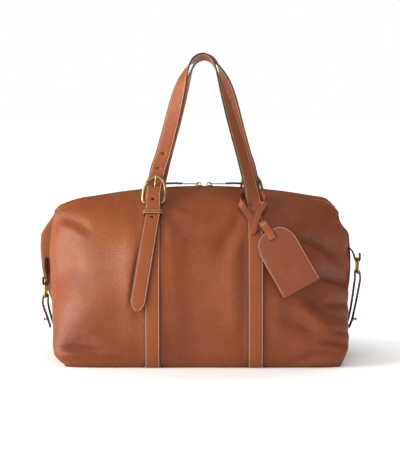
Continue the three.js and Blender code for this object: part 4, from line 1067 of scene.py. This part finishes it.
PULLER_CUT = {"width": 9, "thick": 2.9, "seam": 1.6, "taper": round_end}
ZIP_TAB_CUT = {"width": 17, "thick": 2.0, "seam": 2.2}
for side_name, end in (("left", -1), ("right", 1)):
    spun = np.array([end, end, 1])
    rest = np.array([end * SLIDER_REST, 0, float(zip_height(SLIDER_REST))])
    angle = np.linspace(0, 2 * math.pi, 40, endpoint=False)
    shield = []
    for scale, height in ((0.86, 0.0), (1.0, 0.5), (1.0, 1.9), (0.82, 2.5), (0.3, 2.7)):
        wide = 5.5 * (1 + 0.12 * np.cos(angle * 2))
        shield.append(np.stack([np.cos(angle) * wide * scale, np.sin(angle) * 4.5 * scale,
                                np.full(40, height)], 1))
    points = np.vstack([np.concatenate(shield) * spun + rest, rest, rest + [0, 0, 2.7]])
    faces = grid_faces(5, 40, True)
    faces += [((c + 1) % 40, c, 5 * 40) for c in range(40)]
    faces += [(4 * 40 + c, 4 * 40 + (c + 1) % 40, 5 * 40 + 1) for c in range(40)]
    deck = outward_faces(make_mesh("deck", points, faces, BRASS))
    bridge_path = open_curve([(-3.6, 0, 1), (-3.5, 0, 4.6), (-1.8, 0, 6.7), (0, 0, 7.0),
                              (1.8, 0, 6.7), (3.5, 0, 4.6), (3.6, 0, 1)], 26)
    bridge = tube("bridge", bridge_path * spun + rest, (0.8, 1.1), np.array([0, 1.0, 0]))
    slider = weld(f"{side_name}_slider_body", [deck, bridge])
    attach(slider, f"{side_name}_slider")
    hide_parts(f"zip_slider_{side_name}")

    upward = np.array([0, 0, 1.0])
    eye = tube("eye", flat_ring(3.4, 3.4) * spun + rest, (0.8, 0.8), upward, loop=True)
    far = tube("far", flat_ring(PULL_LENGTH - 1.6, 2.8) * spun + rest, (0.8, 0.8), upward, loop=True)
    bar_path = open_curve([(x, 0, PULL_AXIS) for x in (6.4, 9, 15, PULL_LENGTH - 4.2)], 20)
    bar = tube("bar", bar_path * spun + rest, (2.3, 0.9), upward)
    pull = weld(f"{side_name}_pull_bar", [bar, eye, far])
    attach(pull, f"{side_name}_pull")
    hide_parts(f"zip_pull_{side_name}")

    start = PULL_LENGTH + 2.4
    rise = [(start, 0.2), (start + 10, 0.8), (start + 22, 0.6), (start + PULLER_LENGTH, 0.0)]
    puller_run = run_of([(np.array([x, 0, PULL_AXIS + z]) * spun + rest, upward) for x, z in rise], 0.8)
    puller_made = strap_piece(f"{side_name}_puller_tab", puller_run, STRAP_LEATHER, **PULLER_CUT)
    puller_thread = stitches(f"{side_name}_puller_stitches", seam_lines(puller_run, stop=0.95, **PULLER_CUT),
                             pitch=2.4, size=(1.8, 0.65, 0.55))
    for piece in (puller_made, puller_thread):
        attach(piece, f"{side_name}_puller")
    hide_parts(f"zip_puller_{side_name}")

    reach = float(half_length(end, 1))
    tab_stations = []
    for back_off in (25, 21, 17, 12, 7, 3, -2):
        x = end * min(reach - back_off, reach - 1)
        tab_z = float(zip_height(x) - ear_dip(x)) + 0.3
        tab_stations.append((np.array([end * (reach - back_off - 3), 0, tab_z]),
                             np.array([0, 0, 1.0])))
    tab_run = run_of(tab_stations, 1.0)
    tab = strap_piece(f"{side_name}_zip_tab", tab_run, STRAP_LEATHER, **ZIP_TAB_CUT)
    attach(tab, "bag")
    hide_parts(f"zip_end_tab_{side_name}")
    tab_thread = stitches(f"{side_name}_zip_tab_stitches", seam_lines(tab_run, **ZIP_TAB_CUT))
    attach(tab_thread, "bag")

# ---- ends ---------------------------------------------------------------------------------------
# Each end is drawn in by a doubled strap that buttons on a brass stud and holds a brass ring, which
# hangs from a tab sewn to the folded end.
END_STRAP_WIDTH, TAB_WRAP, STUD_Z, END_STRAP_FOOT = 20.0, WIRE + 1 + 1.1, 64.0, 34.0
RING_WIDE, RING_HIGH = 29.0, 23.0
RING_TAB_CUT = {"width": END_STRAP_WIDTH, "thick": 2.2, "seam": 2.4}
CINCH_CUT = {"width": END_STRAP_WIDTH - 2, "thick": 2.0, "seam": 2.2}


def round_bar(x, z, end, sign):
    stations = []
    for degrees in (0, 30, 60, 90, 120, 150, 180):
        angle = math.radians(degrees)
        away = np.array([-end * math.cos(angle), 0, -sign * math.sin(angle)])
        stations.append((np.array([x, 0, z]) + away * TAB_WRAP, away))
    return stations


for side_name, end, ring_top, hang in (("left", -1, 124.0, 6.0), ("right", 1, 164.0, 19.0)):
    ring_x = end * (float(half_length(end, ring_top / EAR_HEIGHT)) + hang)
    low = ring_top - RING_HIGH
    half = RING_WIDE / 2
    outline = [(half - 5, ring_top), (half - 1.4, ring_top - 1.4), (half, ring_top - 5), (half, low + 5),
               (half - 1.4, low + 1.4), (half - 5, low)]
    outline += [(-y, z) for y, z in outline][::-1]
    ring_path = closed_curve([(ring_x, y, z) for y, z in outline], 90)
    ring_made = tube(f"{side_name}_ring_wire", ring_path, (WIRE, WIRE), np.array([1.0, 0, 0]), loop=True)
    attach(ring_made, f"{side_name}_ring")
    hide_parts(f"{side_name}_end_ring")

    face_in, face_out = np.array([-end, 0, 0.0]), np.array([end, 0, 0.0])
    root_z = ring_top + 42
    root_x = end * (float(half_length(end, root_z / EAR_HEIGHT)) + 2.4)
    tab_stations = [(np.array([root_x, 0, root_z]), face_in), (np.array([root_x, 0, root_z - 16]), face_in),
                    (np.array([mix(root_x, ring_x - end * TAB_WRAP, 0.7), 0, ring_top + 13]), face_in)]
    tab_stations += round_bar(ring_x, ring_top, end, 1)
    tab_stations += [(np.array([ring_x + end * TAB_WRAP, 0, ring_top + 9]), face_out)]
    tab_run = run_of(tab_stations, 0.9)
    tab = strap_piece(f"{side_name}_ring_tab", tab_run, STRAP_LEATHER, **RING_TAB_CUT)
    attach(tab, "bag")
    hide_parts(f"{side_name}_end_tab")

    foot_t = END_STRAP_FOOT / EAR_HEIGHT
    valley = end * (float(half_length(end, foot_t)) - float(fold_depth(foot_t)) + 1.9)
    inner = [(np.array([valley, 0, END_STRAP_FOOT]), face_in),
             (np.array([valley + end * 1.6, 0, 46]), face_in),
             (np.array([mix(valley, ring_x, 0.45), 0, 64]), face_in),
             (np.array([ring_x - end * TAB_WRAP, 0, low - 12]), face_in)]
    outer = [(np.array([ring_x + end * (TAB_WRAP + 0.8), 0, low - 12]), face_out),
             (np.array([mix(valley, ring_x, 0.45) + end * 6.4, 0, STUD_Z]), face_out),
             (np.array([mix(valley, ring_x, 0.3) + end * 5, 0, STUD_Z - 14]), face_out)]
    cinch_run = run_of(inner + round_bar(ring_x, low, end, -1) + outer, 0.9)
    cinch = strap_piece(f"{side_name}_cinch_strap", cinch_run, STRAP_LEATHER, **CINCH_CUT)
    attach(cinch, "bag")
    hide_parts(f"{side_name}_end_strap")
    end_thread = stitches(f"{side_name}_end_stitches",
                          seam_lines(tab_run, **RING_TAB_CUT) + seam_lines(cinch_run, **CINCH_CUT))
    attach(end_thread, "bag")

    seat = mix(valley, ring_x, 0.45) + end * 8.4
    lean = math.atan2(abs(ring_x - valley) * 0.5, low - 12 - STUD_Z + 14) * 0.4
    profile = open_curve([(0.01, 0, 0), (3.4, 0, 0), (3.6, 0, 0.6), (2.2, 0, 1.1), (1.4, 0, 1.8),
                          (1.5, 0, 2.6), (2.6, 0, 3.5), (2.9, 0, 4.3), (2.3, 0, 5.3), (1.0, 0, 5.8),
                          (0.01, 0, 5.9)], 30)
    spin = np.linspace(0, 2 * math.pi, 24, endpoint=False)
    knob = np.stack([profile[:, None, 2] + 0 * spin[None], profile[:, None, 0] * np.cos(spin)[None],
                     profile[:, None, 0] * np.sin(spin)[None]], -1)
    knob[..., 0] *= end
    turned = knob.copy()
    turned[..., 0] = knob[..., 0] * math.cos(lean) + knob[..., 2] * math.sin(end * lean)
    turned[..., 2] = -knob[..., 0] * math.sin(end * lean) + knob[..., 2] * math.cos(lean)
    points = turned.reshape(-1, 3) + np.array([seat, 0, STUD_Z])
    stud = outward_faces(make_mesh(f"{side_name}_stud", points, grid_faces(30, 24, True), BRASS))
    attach(stud, "bag")
    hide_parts(f"{side_name}_end_stud")

# ---- luggage tag --------------------------------------------------------------------------------
# Two cut layers sewn down the sides and across the shoulders, open at the bottom for a card, hung
# from a narrow strap that goes once round the front handle and is pulled through itself.
TAG_WIDE, TAG_LONG, TAG_LAYER = 66.0, 108.0, 1.6
TAG_STRAP_WIDTH, TAG_STRAP_THICK = 11.0, 1.6
tag_top = np.array([103, -103.5, 219])
tag_down = unit(np.array([54.0, -31, -95]))
tag_across = np.array([0.848, 0, 0.53])
tag_across = unit(tag_across - tag_down * (tag_across @ tag_down))
tag_out = unit(np.cross(tag_down, tag_across))


def on_tag(across, down, out):
    return tag_top + tag_across * across + tag_down * down + tag_out * out


def bezier(p0, p1, p2, p3, count):
    q = np.linspace(0, 1, count, endpoint=False)[:, None]
    return (1 - q) ** 3 * np.array(p0) + 3 * (1 - q) ** 2 * q * np.array(p1) \
        + 3 * (1 - q) * q * q * np.array(p2) + q ** 3 * np.array(p3)


def straight(p, r, count):
    q = np.linspace(0, 1, count, endpoint=False)[:, None]
    return np.array(p) * (1 - q) + np.array(r) * q


# Painted shade: the tag's leather is a darker copy of the strap leather.
TAG_LEATHER_SHADED = leather("shaded tag leather", (0.115, 0.025, 0.004), (0.174, 0.039, 0.007), (0.232, 0.058, 0.012),
                      900.0, 0.35, 0.40, painted=True)
tag_half = TAG_WIDE / 2
right_side = np.vstack([
    straight((0, 0), (9, 0), 4), bezier((9.0, 0), (24, 2), (tag_half, 16), (tag_half, 34), 24),
    straight((tag_half, 34), (tag_half, TAG_LONG - 2), 30),
    bezier((tag_half, TAG_LONG - 2.0), (tag_half, TAG_LONG - 0.6), (tag_half - 0.6, TAG_LONG),
           (tag_half - 2, TAG_LONG), 6),
    straight((tag_half - 2, TAG_LONG), (0, TAG_LONG), 12)])
tag_outline = np.vstack([right_side, (right_side * [-1, 1])[::-1][:-1]])


def cut_layer(name, outline, base, thick):
    """A flat cut layer with softened, painted edges."""
    ahead, behind = np.roll(outline, -1, 0), np.roll(outline, 1, 0)
    tangent = unit(ahead - behind)
    inward = np.stack([-tangent[:, 1], tangent[:, 0]], 1)
    centre = outline.mean(0)
    if ((centre - outline) * inward).sum() < 0:
        inward = -inward
    levels = [(6.0, 0, 0), (0.8, 0, 0), (0, 0.35, 1), (0, thick - 0.4, 1), (0.4, thick - 0.05, 1),
              (1.1, thick, 0), (1.4, thick + 0.08, 0), (2.3, thick - 0.14, 0), (3.2, thick + 0.08, 0),
              (7.0, thick + 0.1, 0)]
    points, edges = [], []
    for inset, height, edge in levels:
        moved = outline + inward * min(inset, 1.4)
        moved = mix(moved, centre, max(inset - 1.4, 0) / tag_half)
        points.append(np.array([on_tag(a, d, base + height) for a, d in moved]))
        edges.append(np.full(len(outline), edge))
    n = len(outline)
    flat = np.vstack(points + [on_tag(*centre, base)[None], on_tag(*centre, base + thick + 0.1)[None]])
    top = (len(levels) - 1) * n
    faces = grid_faces(len(levels), n, True)
    faces += [((c + 1) % n, c, len(levels) * n) for c in range(n)]
    faces += [(top + c, top + (c + 1) % n, len(levels) * n + 1) for c in range(n)]
    made = make_mesh(name, flat, faces, TAG_LEATHER_SHADED,
                     {"edge": np.concatenate(edges + [[0, 0]]), "relief": np.full(len(flat), 0.5)})
    return outward_faces(made)


tag_face = cut_layer("tag_face", tag_outline, 0.0, TAG_LAYER)
tag_rear = cut_layer("tag_rear", tag_outline, -TAG_LAYER - 0.4, TAG_LAYER)
tangent = unit(np.gradient(right_side, axis=0))
inset_right = right_side + np.stack([-tangent[:, 1], tangent[:, 0]], 1) * 2.2
keep = inset_right[:, 1] < TAG_LONG - 2.5
inset_right = inset_right[keep]
right_line = np.array([on_tag(a, d, TAG_LAYER + 0.02) for a, d in inset_right])
left_line = np.array([on_tag(-a, d, TAG_LAYER + 0.02) for a, d in inset_right])
tag_thread = stitches("tag_stitches", [right_line, left_line], pitch=2.7, size=(2.1, 0.75, 0.6))
front_level = TAG_LAYER + 0.3 + TAG_STRAP_THICK / 2
tab_path = [on_tag(-1, 16, front_level), on_tag(-1, 4, front_level), on_tag(-2, -6, front_level + 1.2),
            on_tag(-3, -17, front_level + 1.6)]
tag_tab_run = run_of([(p, tag_out) for p in tab_path], 0.8)
tag_tab = strap_piece("tag_loop_tab", tag_tab_run, STRAP_LEATHER, width=12.5, thick=TAG_STRAP_THICK, seam=0)
bar_line = [[on_tag(a, -12, front_level + 2.4) for a in np.linspace(-7, 2, 8)]]
tab_thread = stitches("tag_tab_stitches", bar_line, pitch=2.2, size=(1.8, 0.8, 0.7))
for piece in (tag_face, tag_rear, tag_thread, tag_tab, tab_thread):
    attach(piece, "tag")
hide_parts("tag_front")
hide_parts("tag_back")
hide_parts("tag_tab")


def tag_strap_key(x, z, lift):
    t = z / float(zip_height(x))
    return on_panel(-1, x, t, lift)


first_layer = LAY + STRAP_THICK / 2 + 1 + TAG_STRAP_THICK / 2
second_layer = first_layer + TAG_STRAP_THICK + 0.5
tag_keys = [
    tag_strap_key(78, 209, first_layer), tag_strap_key(81.5, 224, second_layer),
    tag_strap_key(87, 238, second_layer + 0.4), tag_strap_key(96, 250, second_layer + 1),
    (np.array([100, -60, 264.0]), np.array([1, -0.3, 0])),
    (np.array([92, -45.5, 273]), np.array([0.4, 1, 0])),
    (np.array([79, -42.8, 275.5]), np.array([0, 1.0, 0])),
    (np.array([66, -45.5, 272.5]), np.array([-0.4, 1, 0])),
    (np.array([58.5, -61, 263]), np.array([-1, -0.3, 0])),
    tag_strap_key(64, 247, first_layer + 1.6), tag_strap_key(74, 235, first_layer),
    tag_strap_key(85, 224, first_layer), tag_strap_key(91, 216, first_layer)]
at_keys = np.arange(len(tag_keys))
fine = np.linspace(0, len(tag_keys) - 1, 160)
key_places = np.array([k[0] for k in tag_keys])
key_faces = np.array([k[1] for k in tag_keys])
place = np.stack([through(np.stack([at_keys, key_places[:, k]], 1), fine) for k in range(3)], 1)
face = unit(np.stack([through(np.stack([at_keys, key_faces[:, k]], 1), fine) for k in range(3)], 1))
tag_run = run_of(list(zip(place, face)), 1.2)


def tip_round(share):
    """The tag strap's rounded tip."""
    return max(0.3, (1 - (1 - min(share / 0.045, 1)) ** 2.2) ** 0.5)


tag_strap = strap_piece("tag_loop_strap", tag_run, STRAP_LEATHER, width=TAG_STRAP_WIDTH + 0.8,
                        thick=TAG_STRAP_THICK, seam=0, taper=tip_round)
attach(tag_strap, "bag")
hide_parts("tag_strap")

# ---- inside -------------------------------------------------------------------------------------
# A plain cotton twill lining hangs inside the shell, over a stiff board that lies on the base.
LINING, lining_tree, lining_shader, lining_place = new_material("lining twill")
twill = node(lining_tree, "ShaderNodeTexWave", {"Vector": lining_place, "Scale": 260.0, "Distortion": 0.6},
             bands_direction="DIAGONAL")
two_tones(lining_tree, lining_shader, twill.outputs["Fac"], (0.36, 0.28, 0.19), (0.50, 0.41, 0.29))
raise_by(lining_tree, lining_shader, twill.outputs["Fac"], 0.4, 0.0003)
lining_shader.inputs["Roughness"].default_value = 0.92
BOARD, board_tree, board_shader, board_place = new_material("base board")
fibres = node(board_tree, "ShaderNodeTexNoise", {"Vector": board_place, "Scale": 300.0, "Detail": 4.0})
two_tones(board_tree, board_shader, fibres.outputs["Fac"], (0.06, 0.05, 0.04), (0.14, 0.11, 0.08))
board_shader.inputs["Roughness"].default_value = 0.88
for name, material, slot_name in (("lining", LINING, "lining"), ("base_board", BOARD, "board")):
    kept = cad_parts[name]
    kept.data.materials.clear()
    kept.data.materials.append(material)

# ---- floor and light ----------------------------------------------------------------------------
# A plain pale floor that glows away from the bag, a big soft key light from the left, weak lights
# from above and in front, and an even pale surround.
bpy.ops.mesh.primitive_plane_add(size=60)
floor = bpy.context.active_object
floor.name = "floor"
FLOOR = bpy.data.materials.new("floor")
FLOOR.use_nodes = True
floor_shader = FLOOR.node_tree.nodes["Principled BSDF"]
floor_shader.inputs["Base Color"].default_value = (0.93, 0.93, 0.93, 1)
floor_shader.inputs["Roughness"].default_value = 0.9
floor_shader.inputs["Emission Strength"].default_value = 1.0
floor_place = node(FLOOR.node_tree, "ShaderNodeTexCoord").outputs["Object"]
# Painted light: the floor glows weakly near the bag and more strongly away from it, lightening its shadow and
# whitening the far floor.
from_bag = node(FLOOR.node_tree, "ShaderNodeVectorMath", {0: floor_place}, operation="LENGTH")
glow = node(FLOOR.node_tree, "ShaderNodeMapRange", {"Value": from_bag.outputs["Value"], "From Min": 0.20,
                                                    "From Max": 0.5, "To Min": 0.08, "To Max": 0.72})
FLOOR.node_tree.links.new(glow.outputs[0], floor_shader.inputs["Emission Color"])
floor.data.materials.append(FLOOR)


def soft_light(name, place, aim, size, power, colour=(1, 1, 1)):
    data = bpy.data.lights.new(name, "AREA")
    data.color = colour
    data.shape = "SQUARE"
    data.size = size
    data.energy = power
    lamp = bpy.data.objects.new(name, data)
    lamp.location = place
    lamp.rotation_euler = (Vector(aim) - Vector(place)).to_track_quat("-Z", "Y").to_euler()
    bpy.context.scene.collection.objects.link(lamp)
    return lamp


soft_light("key light", (-2.35, -0.98, 0.80), (0, 0, 0.18), 1.5, 108, (1.0, 0.95, 0.87))
soft_light("top light", (0.2, -0.7, 2.3), (0, 0, 0.2), 1.5, 10, (1.0, 0.95, 0.87))
soft_light("fill light", (0.2, -3.0, 1.4), (0, 0, 0.18), 1.6, 5)
world = bpy.data.worlds.new("surround")
world.use_nodes = True
surround = world.node_tree.nodes["Background"]
surround.inputs["Color"].default_value = (1, 1, 1, 1)
surround.inputs["Strength"].default_value = 0.41
seen = node(world.node_tree, "ShaderNodeBackground", {"Color": (1, 1, 1, 1), "Strength": 1.0})
eye_ray = node(world.node_tree, "ShaderNodeLightPath")
pick = node(world.node_tree, "ShaderNodeMixShader", {0: eye_ray.outputs["Is Camera Ray"]})
world.node_tree.links.new(surround.outputs[0], pick.inputs[1])
world.node_tree.links.new(seen.outputs[0], pick.inputs[2])
world.node_tree.links.new(pick.outputs[0], world.node_tree.nodes["World Output"].inputs["Surface"])
bpy.context.scene.world = world
bpy.context.scene.view_settings.view_transform = "Standard"

# ---- final update -------------------------------------------------------------------------------
bpy.context.view_layer.update()
